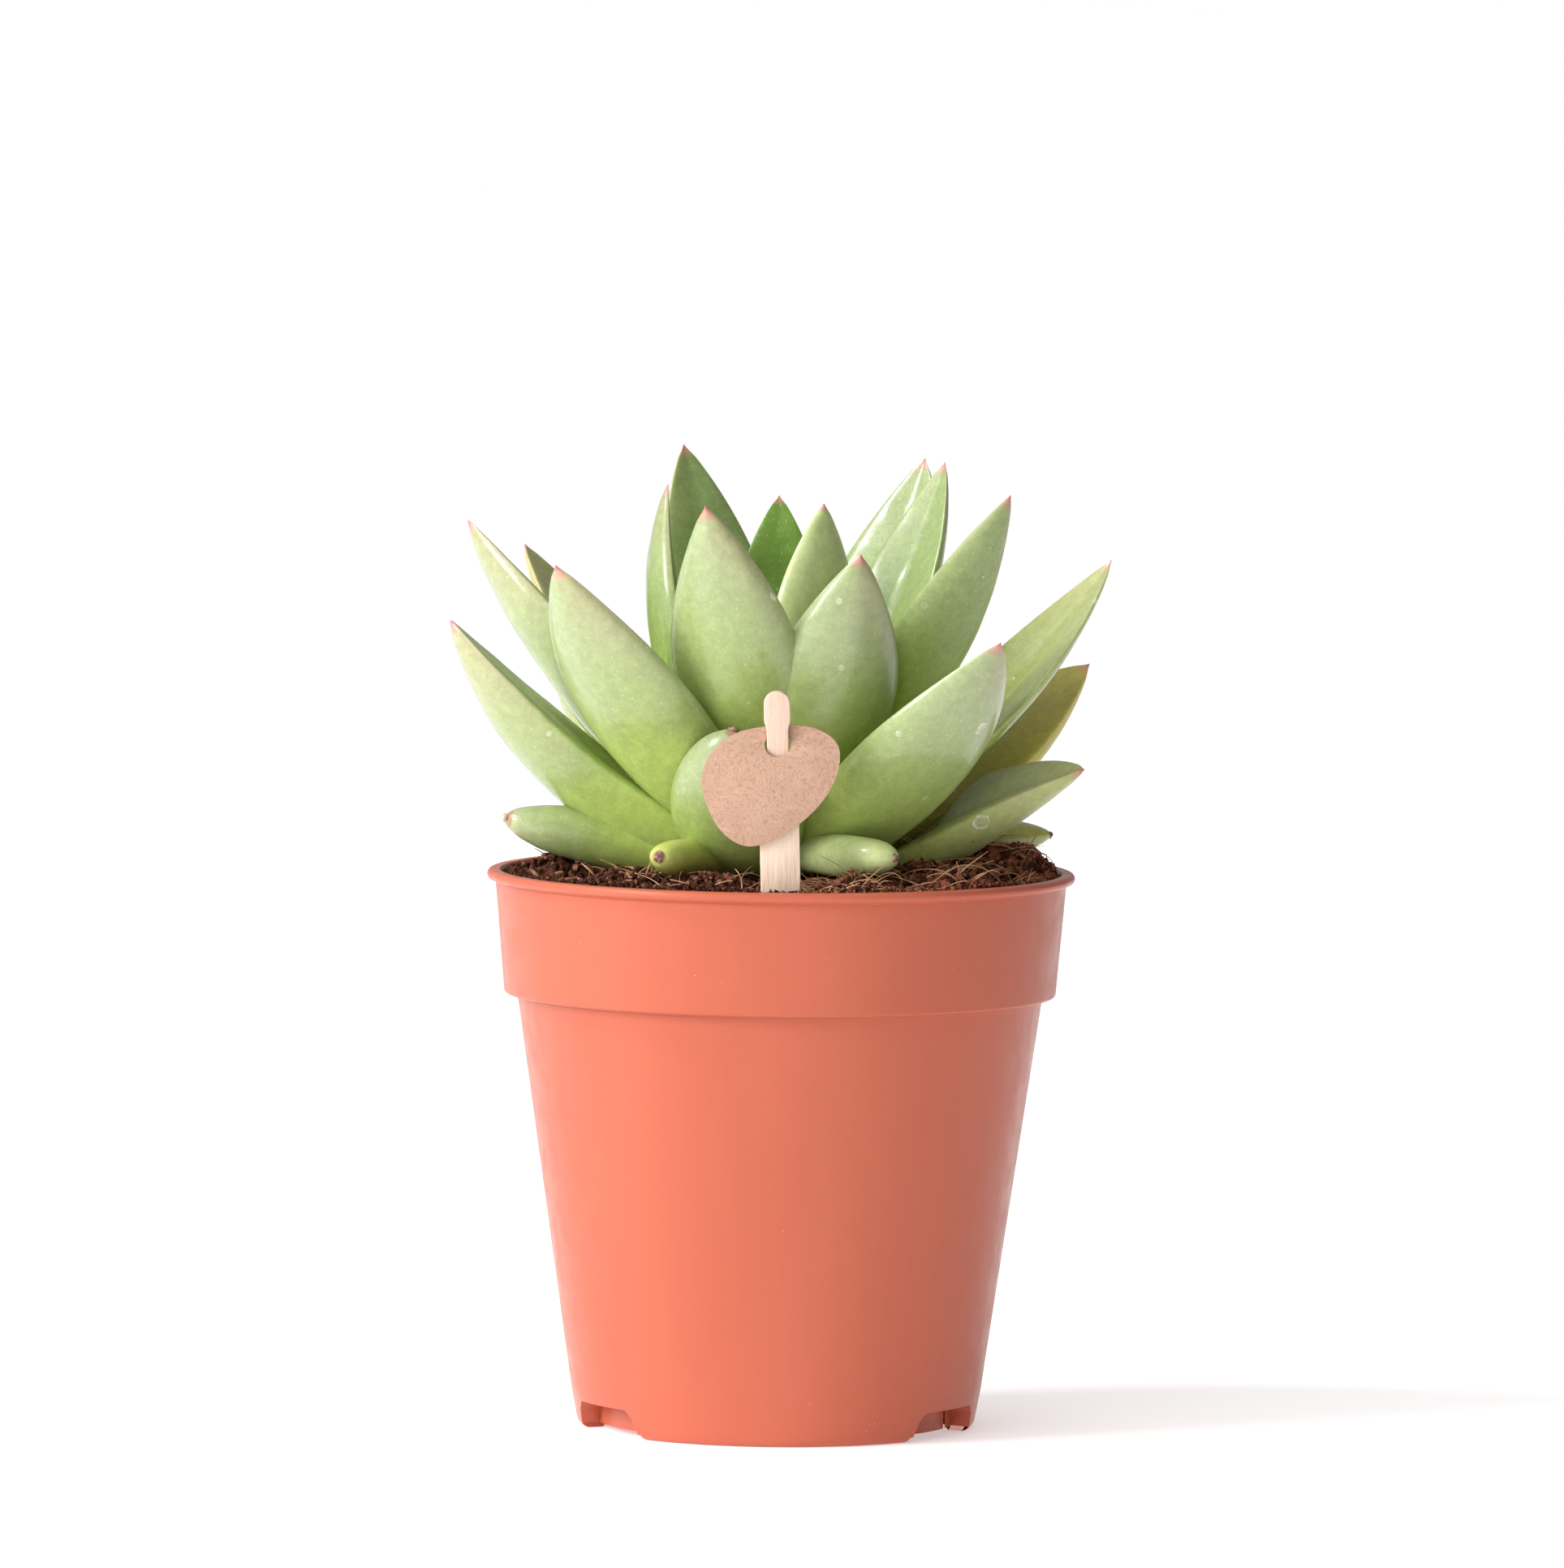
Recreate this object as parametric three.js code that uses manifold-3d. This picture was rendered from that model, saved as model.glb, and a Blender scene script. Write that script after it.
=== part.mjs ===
// A potted Miranda echeveria in a plastic grower's pot, with a wooden label stick and a card tag.
// Millimetres, +Z up. The origin is on the ground, on the axis of the pot; the label faces -Y.
import * as THREE from 'three';
import { mergeVertices } from 'three/addons/utils/BufferGeometryUtils.js';
import Module from 'manifold-3d';

// The pot
const POT_HEIGHT = 84;
const POT_WALL = 1;
const POT_SIDES = 56;
const LIP_RADIUS = 44.3;
const LIP_HEIGHT = 1.5;
const BAND_TOP_RADIUS = 43;
const BAND_FOOT_RADIUS = 41.6;
const BAND_FOOT_HEIGHT = 65.5;
const BODY_TOP_RADIUS = 39.5;
const BODY_FOOT_RADIUS = 30.1;
const FOOT_FILLET = 1.6;
const FOOT_RING_INNER_RADIUS = 25.8;
const FLOOR_UNDERSIDE = 0.8;
const FLOOR_TOP = FLOOR_UNDERSIDE + POT_WALL;

// Three drainage channels cut into the foot
const CHANNEL_ANGLES = [90, 210, 330];
const CHANNEL_HEIGHT = 4.4;
const CHANNEL_HALF_WIDTH_LOW = 9;
const CHANNEL_HALF_WIDTH_HIGH = 7.4;
const CHANNEL_BACK_RADIUS = 27;
const CHANNEL_CORNER = 1.2;
const CHANNEL_SLOT = { radius: 28.3, length: 8, width: 1.6 };
const FLOOR_HOLE_RADIUS = 2.6;
const FLOOR_HOLE_RING = 15;
const FLOOR_HOLE_SIDES = 16;

// The soil
const CLEARANCE = 0.3;
const SOIL_LEVEL = 82.8;
const SOIL_EDGE_DROP = 0.4;
const SOIL_MOUND = { height: 2, radius: 20 };
const SOIL_SECTORS = 40;
const SOIL_RINGS = [5, 11, 17, 22.5, 27.5, 32, 35.5, 38.5];
const SOIL_LUMPS = [
  { x: 36.5, y: 4, radius: 3.8, height: 3.8 },
  { x: 29, y: 0, radius: 6.5, height: 5 },
  { x: 21, y: -7, radius: 7, height: 3.9 },
  { x: 25, y: -23, radius: 6, height: 2.6 },
  { x: 11, y: -33, radius: 5, height: 2.6 },
  { x: -10, y: -33, radius: 6, height: 2.4 },
  { x: -23, y: -26, radius: 6, height: 2.8 },
  { x: -34, y: -8, radius: 4.5, height: 3.3 },
  { x: -37, y: 4, radius: 3, height: -1.5 },
  { x: -8, y: 33, radius: 8, height: 1.4 },
  { x: 22, y: 28, radius: 7, height: -1.2 },
];
const SOIL_ROUGHNESS = 0.35;
const SOIL_WAVES = [[1.1, 0.7, 0], [-1.3, 0.9, 2], [0.4, 1.7, 4]];

// The plant
const STEM_X = -1;
const STEM_RADIUS = 5;
const STEM_FOOT = 70;
const STEM_TOP = 103;
const CROWN_RADIUS = 7.2;
const CROWN_FOOT = 85;
const CROWN_TOP = 97;
const LEAF_ROOT_RADIUS = 2.5;
const LEAF_SIDES = 12;
const LEAF_STATIONS = [0, 0.13, 0.28, 0.43, 0.58, 0.73, 0.86, 0.95];
const LEAF_ROOT_SHARE = 0.74;
const LEAF_WIDEST_AT = 0.55;
const LEAF_SWELL_POWER = 1.2;
const LEAF_TIP_POWER = 0.84;
const LEAF_ROOT_THICKNESS_SHARE = 0.7;
const LEAF_THICKEST_AT = 0.45;
const LEAF_THINNING = { start: 1.8, end: 0.8 };
const LEAF_BLUNTNESS = 6;
const LEAF_FACE_SHARE = 0.18;
const LEAF_FACE_POWER = 0.8;
const LEAF_BACK_POWER = 1.15;
const LEAF_FOLD = 0.15;
const LEAF_ROLLED_AT = 0.5;

// Each leaf: the direction it grows in (degrees, 0 is +X, 270 is the front), how far its tip reaches from
// the stem, the height of its tip and of its root, its width and thickness, how far its middle bows
// outward, its roll about its own length (degrees), how far it bends sideways, how deep its inner face is
// folded, how blunt it is, from 0 for a pointed leaf to 1, and whether its section is an oval.
const LEAVES = [
  // The heart of the rosette
  { turn: 89, reach: 8, tip: 140.2, root: 97, width: 13.5, thick: 5, bow: 0.5, fold: 0.2 },
  { turn: 315, reach: 9.7, tip: 139.8, root: 96, width: 17, thick: 5.5, bow: 1.5, sway: -1 },
  { turn: 142, reach: 13, tip: 130, root: 96, width: 12, thick: 5.5, bow: 2 },
  { turn: 60, reach: 18, tip: 129, root: 95, width: 13, thick: 6, bow: 2 },
  { turn: 194, reach: 17, tip: 142.3, root: 93, width: 18, thick: 6.5, bow: 4, roll: -14, fold: 0.3 },
  { turn: 5, reach: 19, tip: 123, root: 94, width: 14, thick: 6, bow: 2 },
  { turn: 227, reach: 20, tip: 127, root: 94, width: 15, thick: 6, bow: 2 },
  // The tall ring
  { turn: 120, reach: 29, tip: 147, root: 92, width: 18, thick: 6.5, bow: 2, sway: -1.3 },
  {
    turn: 40, reach: 33, tip: 144.8, root: 92, width: 15.5, thick: 6.5, bow: 0.8, roll: 5, sway: -0.6,
    fold: 0.45,
  },
  { turn: 255, reach: 41.5, tip: 141, root: 90, width: 20.3, thick: 7.5, bow: 4, sway: 1.8 },
  { turn: 327.5, reach: 41, tip: 142.1, root: 89, width: 19.5, thick: 8.5, bow: 0.3 },
  { turn: 56, reach: 40, tip: 144.8, root: 90, width: 20, thick: 7, bow: 1.5, fold: 0.25 },
  { turn: 289.5, reach: 37, tip: 133.8, root: 90, width: 21.4, thick: 8, bow: 4, sway: -0.9 },
  // The spreading ring
  { turn: 174, reach: 47, tip: 136.2, root: 88, width: 19, thick: 9.2, bow: 0, roll: 10 },
  { turn: 150, reach: 44.5, tip: 131.7, root: 89, width: 18, thick: 7, bow: 1 },
  { turn: 230.5, reach: 51.5, tip: 132, root: 88, width: 22.8, thick: 8, bow: 2.5 },
  {
    turn: 11.3, reach: 51.5, tip: 130.8, root: 84, width: 20, thick: 4.4, bow: 1.6, roll: 15.5, sway: -3,
    fold: 0.64,
  },
  { turn: 197, reach: 51, tip: 122.3, root: 84, width: 17.5, thick: 10.6, bow: 2.2, roll: -14 },
  { turn: 309.5, reach: 52, tip: 121.2, root: 84.5, width: 23.5, thick: 8.5, bow: 2 },
  {
    turn: 24.9, reach: 52.5, tip: 114.3, root: 85.5, width: 22, thick: 9, bow: 1.7, roll: 23, sway: 1.9,
    fold: 0.05,
  },
  { turn: 97, reach: 42.5, tip: 121, root: 88, width: 18, thick: 7.5, bow: 3 },
  { turn: 135, reach: 48, tip: 115, root: 88, width: 19, thick: 7.5, bow: 2 },
  { turn: 64, reach: 42.5, tip: 112, root: 88, width: 18, thick: 7.5, bow: 2 },
  // The low ring
  {
    turn: 259.5, reach: 34.5, tip: 107.5, root: 87, width: 20, thick: 8, bow: 4.5, blunt: 0.4, sway: -1.5,
    fold: 0.1,
  },
  { turn: 77, reach: 41.5, tip: 103, root: 87, width: 17, thick: 7.5, bow: 2 },
  { turn: 117, reach: 42.5, tip: 103, root: 87, width: 17, thick: 7.5, bow: 2 },
  {
    turn: 346, reach: 47.7, tip: 100.6, root: 74, width: 25, thick: 9.3, bow: -4.7, roll: 14, sway: 5.5,
    fold: 0.3,
  },
  {
    turn: 196.5, reach: 42.2, tip: 92.4, root: 84.8, width: 11, thick: 9.2, bow: 0.3, blunt: 0.5,
    oval: true,
  },
  {
    turn: 243.2, reach: 38.3, tip: 88.5, root: 86.3, width: 5.8, thick: 5.6, bow: 0.3, blunt: 1, sway: -1,
    oval: true,
  },
  {
    turn: 299.3, reach: 36.7, tip: 88.5, root: 87.6, width: 7, thick: 6.2, bow: 0, blunt: 1, sway: -3.5,
    oval: true,
  },
  { turn: 19.5, reach: 44.5, tip: 88.7, root: 87, width: 10, thick: 8, bow: 0, blunt: 0.3, oval: true },
  { turn: 140, reach: 38, tip: 88.5, root: 87, width: 10, thick: 7, bow: 0, blunt: 0.4, oval: true },
  { turn: 95, reach: 38, tip: 89, root: 87, width: 9, thick: 7, bow: 0, blunt: 0.5, oval: true },
];

// The label stick, which leans a little, measured along itself from where it enters the soil
const LABEL_FOOT = { x: 0, y: -37.4, z: 83 };
const LABEL_LEAN_FORWARD = 6;
const LABEL_LEAN_LEFT = 1.7;
const STICK_THICKNESS = 1;
const STICK_WIDTH = 5.9;
const STICK_BURIED = 37;
const STICK_POINT = 5;
const STICK_SHOULDER = 20.2;
const STICK_TAPER = 1.4;
const STICK_NECK_WIDTH = 3.2;
const STICK_HEAD_START = 25;
const STICK_HEAD_WIDTH = 3.9;
const STICK_TOP = 30.9;

// The card tag, measured from the middle of its hole
const TAG_THICKNESS = 0.8;
const TAG_HOLE_HEIGHT_ON_STICK = 22.9;
const TAG_HOLE_RADII = [1.95, 1.7];
const TAG_GAP = 0.2;
const TAG_OUTLINE = [
  [-11.3, -6], [-10.4, -1.8], [-6.5, 1.4], [0, 2.6], [5.6, 2.1], [8.9, -0.3],
  [8.6, -4.6], [5.4, -9.6], [-0.7, -14], [-5, -14.9], [-8.6, -12.6],
];
const TAG_OUTLINE_STEPS = 44;
const TAG_BEND_STEPS = 8;

const wasm = await Module();
wasm.setup();

const radians = THREE.MathUtils.degToRad;

// A closed geometry as a solid, with its faces turned outward.
function solidOf(geometry) {
  const bare = geometry.index ? geometry.toNonIndexed() : geometry.clone();
  bare.deleteAttribute('normal');
  bare.deleteAttribute('uv');
  const merged = mergeVertices(bare, 1e-4);
  const points = merged.attributes.position.array;
  const corners = [];
  let volume = 0;
  for (let i = 0; i < merged.index.count; i += 3) {
    const [a, b, c] = merged.index.array.slice(i, i + 3);
    if (a === b || b === c || c === a) continue;
    corners.push([a, b, c]);
    const [p, q, r] = [a, b, c].map((k) => new THREE.Vector3().fromArray(points, 3 * k));
    volume += p.dot(q.cross(r));
  }
  const outward = volume > 0 ? corners : corners.map(([a, b, c]) => [a, c, b]);
  return new wasm.Manifold(new wasm.Mesh({
    numProp: 3,
    vertProperties: new Float32Array(points),
    triVerts: new Uint32Array(outward.flat()),
  }));
}

function meshOf(name, solid, material) {
  const { vertProperties, triVerts } = solid.getMesh();
  const geometry = new THREE.BufferGeometry();
  geometry.setAttribute('position', new THREE.BufferAttribute(new Float32Array(vertProperties), 3));
  geometry.setIndex(new THREE.BufferAttribute(new Uint32Array(triVerts), 1));
  geometry.computeVertexNormals();
  const mesh = new THREE.Mesh(geometry, material);
  mesh.name = name;
  return mesh;
}

function turned(profile, sides = POT_SIDES) {
  const points = profile.map(([radius, height]) => new THREE.Vector2(radius, height));
  return solidOf(new THREE.LatheGeometry(points, sides).rotateX(Math.PI / 2));
}

function cylinder(radius, low, high, x = 0, y = 0, sides = 24) {
  const geometry = new THREE.CylinderGeometry(radius, radius, high - low, sides).rotateX(Math.PI / 2);
  return solidOf(geometry.translate(x, y, (low + high) / 2));
}

// A closed solid from rings of points, with a single point at each end.
function skinned(rings, first, last) {
  const sides = rings[0].length;
  const points = [first, ...rings.flat(), last].flatMap((p) => [p.x, p.y, p.z]);
  const at = (ring, side) => 1 + ring * sides + (side % sides);
  const end = 1 + rings.length * sides;
  const index = [];
  for (let side = 0; side < sides; side += 1) {
    index.push(0, at(0, side + 1), at(0, side));
    for (let ring = 0; ring + 1 < rings.length; ring += 1) {
      const [a, b] = [at(ring, side), at(ring, side + 1)];
      const [c, d] = [at(ring + 1, side + 1), at(ring + 1, side)];
      index.push(a, b, c, a, c, d);
    }
    index.push(end, at(rings.length - 1, side), at(rings.length - 1, side + 1));
  }
  const geometry = new THREE.BufferGeometry();
  geometry.setAttribute('position', new THREE.Float32BufferAttribute(points, 3));
  geometry.setIndex(index);
  return solidOf(geometry);
}

// The pot's outer radius on its tapered body.
function bodyRadius(height) {
  return BODY_FOOT_RADIUS + (BODY_TOP_RADIUS - BODY_FOOT_RADIUS) * height / BAND_FOOT_HEIGHT;
}

// The inside of the pot, drawn in by a gap all round.
function potInside(gap) {
  const inset = POT_WALL + gap;
  const ledge = BAND_FOOT_HEIGHT + inset;
  return turned([
    [0, FLOOR_TOP + gap],
    [bodyRadius(FLOOR_TOP) - inset - 0.8, FLOOR_TOP + gap],
    [bodyRadius(FLOOR_TOP) - inset, FLOOR_TOP + gap + 0.8],
    [BODY_TOP_RADIUS - inset, ledge - 0.5],
    [BAND_FOOT_RADIUS - inset, ledge],
    [BAND_TOP_RADIUS - inset, POT_HEIGHT + 12],
    [0, POT_HEIGHT + 12],
  ]);
}

// A drainage channel across the foot, grown on all sides by a margin.
function channel(angle, margin, height) {
  const low = CHANNEL_HALF_WIDTH_LOW + margin;
  const high = CHANNEL_HALF_WIDTH_HIGH + margin;
  const top = height + margin;
  const lean = (low - high) / CHANNEL_HEIGHT;
  const shape = new THREE.Shape();
  shape.moveTo(-low, -1);
  shape.lineTo(low, -1);
  shape.lineTo(low - lean * (top - CHANNEL_CORNER), top - CHANNEL_CORNER);
  shape.quadraticCurveTo(high, top, high - CHANNEL_CORNER, top);
  shape.lineTo(CHANNEL_CORNER - high, top);
  shape.quadraticCurveTo(-high, top, lean * (top - CHANNEL_CORNER) - low, top - CHANNEL_CORNER);
  const prism = new THREE.ExtrudeGeometry(shape, { depth: 20, bevelEnabled: false, curveSegments: 3 });
  prism.rotateX(Math.PI / 2).rotateZ(Math.PI / 2).translate(20, 0, 0);
  prism.rotateZ(radians(angle));
  return solidOf(prism);
}

function channels(margin) {
  const back = cylinder(CHANNEL_BACK_RADIUS - margin, -2, 12, 0, 0, POT_SIDES);
  let cut = null;
  for (const angle of CHANNEL_ANGLES) {
    const one = channel(angle, margin, CHANNEL_HEIGHT).subtract(back);
    cut = cut ? cut.add(one) : one;
  }
  return cut;
}

function potSolid() {
  const lipMiddle = POT_HEIGHT - LIP_HEIGHT / 2;
  const half = LIP_HEIGHT / 2;
  const lip = [-60, -20, 20, 60].map((angle) => [
    LIP_RADIUS - half + half * Math.cos(radians(angle)),
    lipMiddle + half * Math.sin(radians(angle)),
  ]);
  const outside = turned([
    [0, FLOOR_UNDERSIDE],
    [FOOT_RING_INNER_RADIUS, FLOOR_UNDERSIDE],
    [FOOT_RING_INNER_RADIUS + 0.6, 0],
    [bodyRadius(0) - FOOT_FILLET, 0],
    [bodyRadius(0) - FOOT_FILLET / 3, FOOT_FILLET / 3],
    [bodyRadius(FOOT_FILLET), FOOT_FILLET],
    [BODY_TOP_RADIUS, BAND_FOOT_HEIGHT - 0.4],
    [BAND_FOOT_RADIUS - 0.5, BAND_FOOT_HEIGHT - 0.1],
    [BAND_FOOT_RADIUS, BAND_FOOT_HEIGHT + 0.5],
    [BAND_TOP_RADIUS, POT_HEIGHT - LIP_HEIGHT - 0.2],
    ...lip,
    [LIP_RADIUS - half - 0.4, POT_HEIGHT],
    [0, POT_HEIGHT],
  ]);
  let pot = outside.subtract(channels(0)).subtract(potInside(0).subtract(channels(POT_WALL)));
  for (const angle of CHANNEL_ANGLES) {
    const foot = channel(angle, 0, FLOOR_UNDERSIDE).intersect(
      cylinder(CHANNEL_BACK_RADIUS + 0.5, -2, FLOOR_UNDERSIDE, 0, 0, POT_SIDES));
    const inner = cylinder(FOOT_RING_INNER_RADIUS - 0.5, -2, FLOOR_UNDERSIDE, 0, 0, POT_SIDES);
    const { radius, length, width } = CHANNEL_SLOT;
    const slot = new THREE.BoxGeometry(width, length, 4)
      .translate(radius, 0, CHANNEL_HEIGHT + POT_WALL / 2)
      .rotateZ(radians(angle));
    const away = radians(angle + 60);
    const [x, y] = [FLOOR_HOLE_RING * Math.cos(away), FLOOR_HOLE_RING * Math.sin(away)];
    pot = pot.subtract(foot.subtract(inner))
      .subtract(solidOf(slot))
      .subtract(cylinder(FLOOR_HOLE_RADIUS, -1, 3, x, y, FLOOR_HOLE_SIDES));
  }
  return pot.subtract(cylinder(FLOOR_HOLE_RADIUS, -1, 3, 0, 0, FLOOR_HOLE_SIDES));
}

// The height of the soil at a point: a low mound with lumps, hollows and a fine roughness.
function soilHeight(x, y) {
  let height = SOIL_LEVEL + SOIL_MOUND.height * Math.exp(-((Math.hypot(x, y) / SOIL_MOUND.radius) ** 2));
  for (const lump of SOIL_LUMPS) {
    const away = Math.hypot(x - lump.x, y - lump.y) / lump.radius;
    height += lump.height * Math.exp(-(away ** 2));
  }
  for (const [alongX, alongY, shift] of SOIL_WAVES) {
    height += SOIL_ROUGHNESS * Math.sin(alongX * x + alongY * y + shift);
  }
  return height;
}

function soilSolid(plant, stick) {
  const rim = BAND_TOP_RADIUS - POT_WALL - CLEARANCE - 0.15;
  const ring = (radius, heightAt) => Array.from({ length: SOIL_SECTORS }, (_, k) => {
    const angle = 2 * Math.PI * k / SOIL_SECTORS;
    const [x, y] = [radius * Math.cos(angle), radius * Math.sin(angle)];
    return new THREE.Vector3(x, y, heightAt(x, y));
  });
  const rings = [
    ring(rim, () => 1),
    ring(rim, (x, y) => soilHeight(x, y) - SOIL_EDGE_DROP),
    ...[...SOIL_RINGS].reverse().map((radius) => ring(radius, soilHeight)),
  ];
  const low = new THREE.Vector3(0, 0, 1);
  const high = new THREE.Vector3(0, 0, soilHeight(0, 0));
  return skinned(rings, low, high)
    .intersect(potInside(CLEARANCE))
    .subtract(channels(POT_WALL + CLEARANCE))
    .subtract(plant)
    .subtract(cylinder(STEM_RADIUS + CLEARANCE, STEM_FOOT - CLEARANCE, STEM_TOP, STEM_X, 0))
    .subtract(stick);
}

// Half the width and the thickness of a leaf at a share of its length, each as a share of its largest.
function leafWidthShare(along, blunt) {
  if (along < LEAF_WIDEST_AT) {
    const swell = Math.sin((along / LEAF_WIDEST_AT) * Math.PI / 2) ** LEAF_SWELL_POWER;
    return LEAF_ROOT_SHARE + (1 - LEAF_ROOT_SHARE) * swell;
  }
  const toTip = (along - LEAF_WIDEST_AT) / (1 - LEAF_WIDEST_AT);
  const pointed = Math.cos(toTip * Math.PI / 2) ** LEAF_TIP_POWER;
  return pointed * (1 - blunt) + Math.sqrt(1 - toTip ** LEAF_BLUNTNESS) * blunt;
}

function leafThicknessShare(along, blunt) {
  if (along < LEAF_THICKEST_AT) {
    const swell = Math.sin((along / LEAF_THICKEST_AT) * Math.PI / 2);
    return LEAF_ROOT_THICKNESS_SHARE + (1 - LEAF_ROOT_THICKNESS_SHARE) * swell;
  }
  const toTip = (along - LEAF_THICKEST_AT) / (1 - LEAF_THICKEST_AT);
  const pointed = (1 - toTip ** LEAF_THINNING.start) ** LEAF_THINNING.end;
  return pointed * (1 - blunt) + Math.sqrt(1 - toTip ** LEAF_BLUNTNESS) * blunt;
}

// One point of a leaf's section: a folded inner face and a rounded, keeled back, or an oval.
function leafSection(angle, halfWidth, thickness, fold, oval) {
  const across = halfWidth * Math.cos(angle);
  const rise = Math.sin(angle);
  if (oval) return [across, thickness * 0.5 * rise];
  if (rise > 0) {
    const folded = fold * (1 - Math.abs(Math.cos(angle)));
    return [across, thickness * (LEAF_FACE_SHARE * rise ** LEAF_FACE_POWER - folded)];
  }
  return [across, -thickness * (1 - LEAF_FACE_SHARE) * Math.abs(rise) ** LEAF_BACK_POWER];
}

// A leaf as a solid, grown on all sides by a margin.
function leafSolid(leaf, margin = 0) {
  const { turn, reach, tip, root, width, thick, bow } = leaf;
  const { roll = 0, sway = 0, fold = LEAF_FOLD, blunt = 0, oval = false } = leaf;
  const out = new THREE.Vector3(Math.cos(radians(turn)), Math.sin(radians(turn)), 0);
  const across = new THREE.Vector3(-out.y, out.x, 0);
  const up = new THREE.Vector3(0, 0, 1);
  const start = new THREE.Vector2(LEAF_ROOT_RADIUS, root);
  const end = new THREE.Vector2(reach, tip);
  const chord = end.clone().sub(start);
  const outward = new THREE.Vector2(chord.y, -chord.x).normalize();
  const middle = start.clone().add(end).multiplyScalar(0.5).addScaledVector(outward, 2 * bow);
  const spine = new THREE.QuadraticBezierCurve(start, middle, end);
  const place = (point) => new THREE.Vector3(STEM_X, 0, point.y).addScaledVector(out, point.x);

  const rings = LEAF_STATIONS.map((along) => {
    const centre = place(spine.getPoint(along)).addScaledVector(across, sway * 4 * along * (1 - along));
    const { x: forward, y: rise } = spine.getTangent(along);
    const face = up.clone().multiplyScalar(forward).addScaledVector(out, -rise);
    const course = out.clone().multiplyScalar(forward).addScaledVector(up, rise)
      .addScaledVector(across, sway * 4 * (1 - 2 * along) / chord.length()).normalize();
    const lean = radians(roll) * Math.min(1, along / LEAF_ROLLED_AT);
    const side = across.clone().multiplyScalar(Math.cos(lean)).addScaledVector(face, Math.sin(lean));
    side.addScaledVector(course, -side.dot(course)).normalize();
    const normal = course.clone().cross(side);
    const halfWidth = width / 2 * leafWidthShare(along, blunt) + margin;
    const thickness = thick * leafThicknessShare(along, blunt) + 2 * margin;
    return Array.from({ length: LEAF_SIDES }, (_, k) => {
      const angle = 2 * Math.PI * k / LEAF_SIDES;
      const [sideways, lifted] = leafSection(angle, halfWidth, thickness, fold, oval);
      return centre.clone().addScaledVector(side, sideways).addScaledVector(normal, lifted + margin / 2);
    });
  });
  const apex = spine.getPoint(1).addScaledVector(spine.getTangent(1), margin);
  return skinned(rings, place(start), place(apex));
}

// The whole plant: every leaf grown from one short stem with a thicker crown.
function rosetteSolid(margin = 0) {
  let plant = turned([
    [0, STEM_FOOT - margin],
    [STEM_RADIUS + margin - 1, STEM_FOOT - margin],
    [STEM_RADIUS + margin, STEM_FOOT - margin + 2],
    [STEM_RADIUS + margin, CROWN_FOOT],
    [CROWN_RADIUS + margin, CROWN_FOOT + 1.5],
    [CROWN_RADIUS + margin, CROWN_TOP],
    [0, STEM_TOP],
  ], 16).translate([STEM_X, 0, 0]);
  for (const leaf of LEAVES) plant = plant.add(leafSolid(leaf, margin));
  return plant;
}

// The label's own upright frame, moved to where the stick stands.
function placeLabel(object) {
  object.rotation.set(radians(LABEL_LEAN_FORWARD), radians(-LABEL_LEAN_LEFT), 0);
  object.position.set(LABEL_FOOT.x, LABEL_FOOT.y, LABEL_FOOT.z);
  return object;
}

function stickGeometry(margin = 0) {
  const half = STICK_WIDTH / 2 + margin;
  const neck = STICK_NECK_WIDTH / 2 + margin;
  const head = STICK_HEAD_WIDTH / 2 + margin;
  const bottom = -STICK_BURIED - margin;
  const shape = new THREE.Shape();
  shape.moveTo(-1, bottom);
  shape.lineTo(1, bottom);
  shape.lineTo(half, bottom + STICK_POINT);
  shape.lineTo(half, STICK_SHOULDER - STICK_TAPER);
  shape.lineTo(neck, STICK_SHOULDER);
  shape.lineTo(neck, STICK_HEAD_START);
  shape.lineTo(head, STICK_HEAD_START + 1.2);
  shape.lineTo(head, STICK_TOP - head);
  shape.absarc(0, STICK_TOP - head, head, 0, Math.PI, false);
  shape.lineTo(-head, STICK_HEAD_START + 1.2);
  shape.lineTo(-neck, STICK_HEAD_START);
  shape.lineTo(-neck, STICK_SHOULDER);
  shape.lineTo(-half, STICK_SHOULDER - STICK_TAPER);
  shape.lineTo(-half, bottom + STICK_POINT);
  const depth = STICK_THICKNESS + 2 * margin;
  const geometry = new THREE.ExtrudeGeometry(shape, { depth, bevelEnabled: false, curveSegments: 12 });
  return geometry.rotateX(Math.PI / 2).translate(0, depth / 2, 0);
}

// The tag's bend: its foot hangs in front of the stick and the strip over its hole lies behind the neck.
function tagOffset(height) {
  const away = STICK_THICKNESS / 2 + TAG_GAP + TAG_THICKNESS / 2;
  const reach = TAG_HOLE_RADII[1];
  const share = THREE.MathUtils.smoothstep(height, -reach, reach);
  return away * (2 * share - 1);
}

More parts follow.
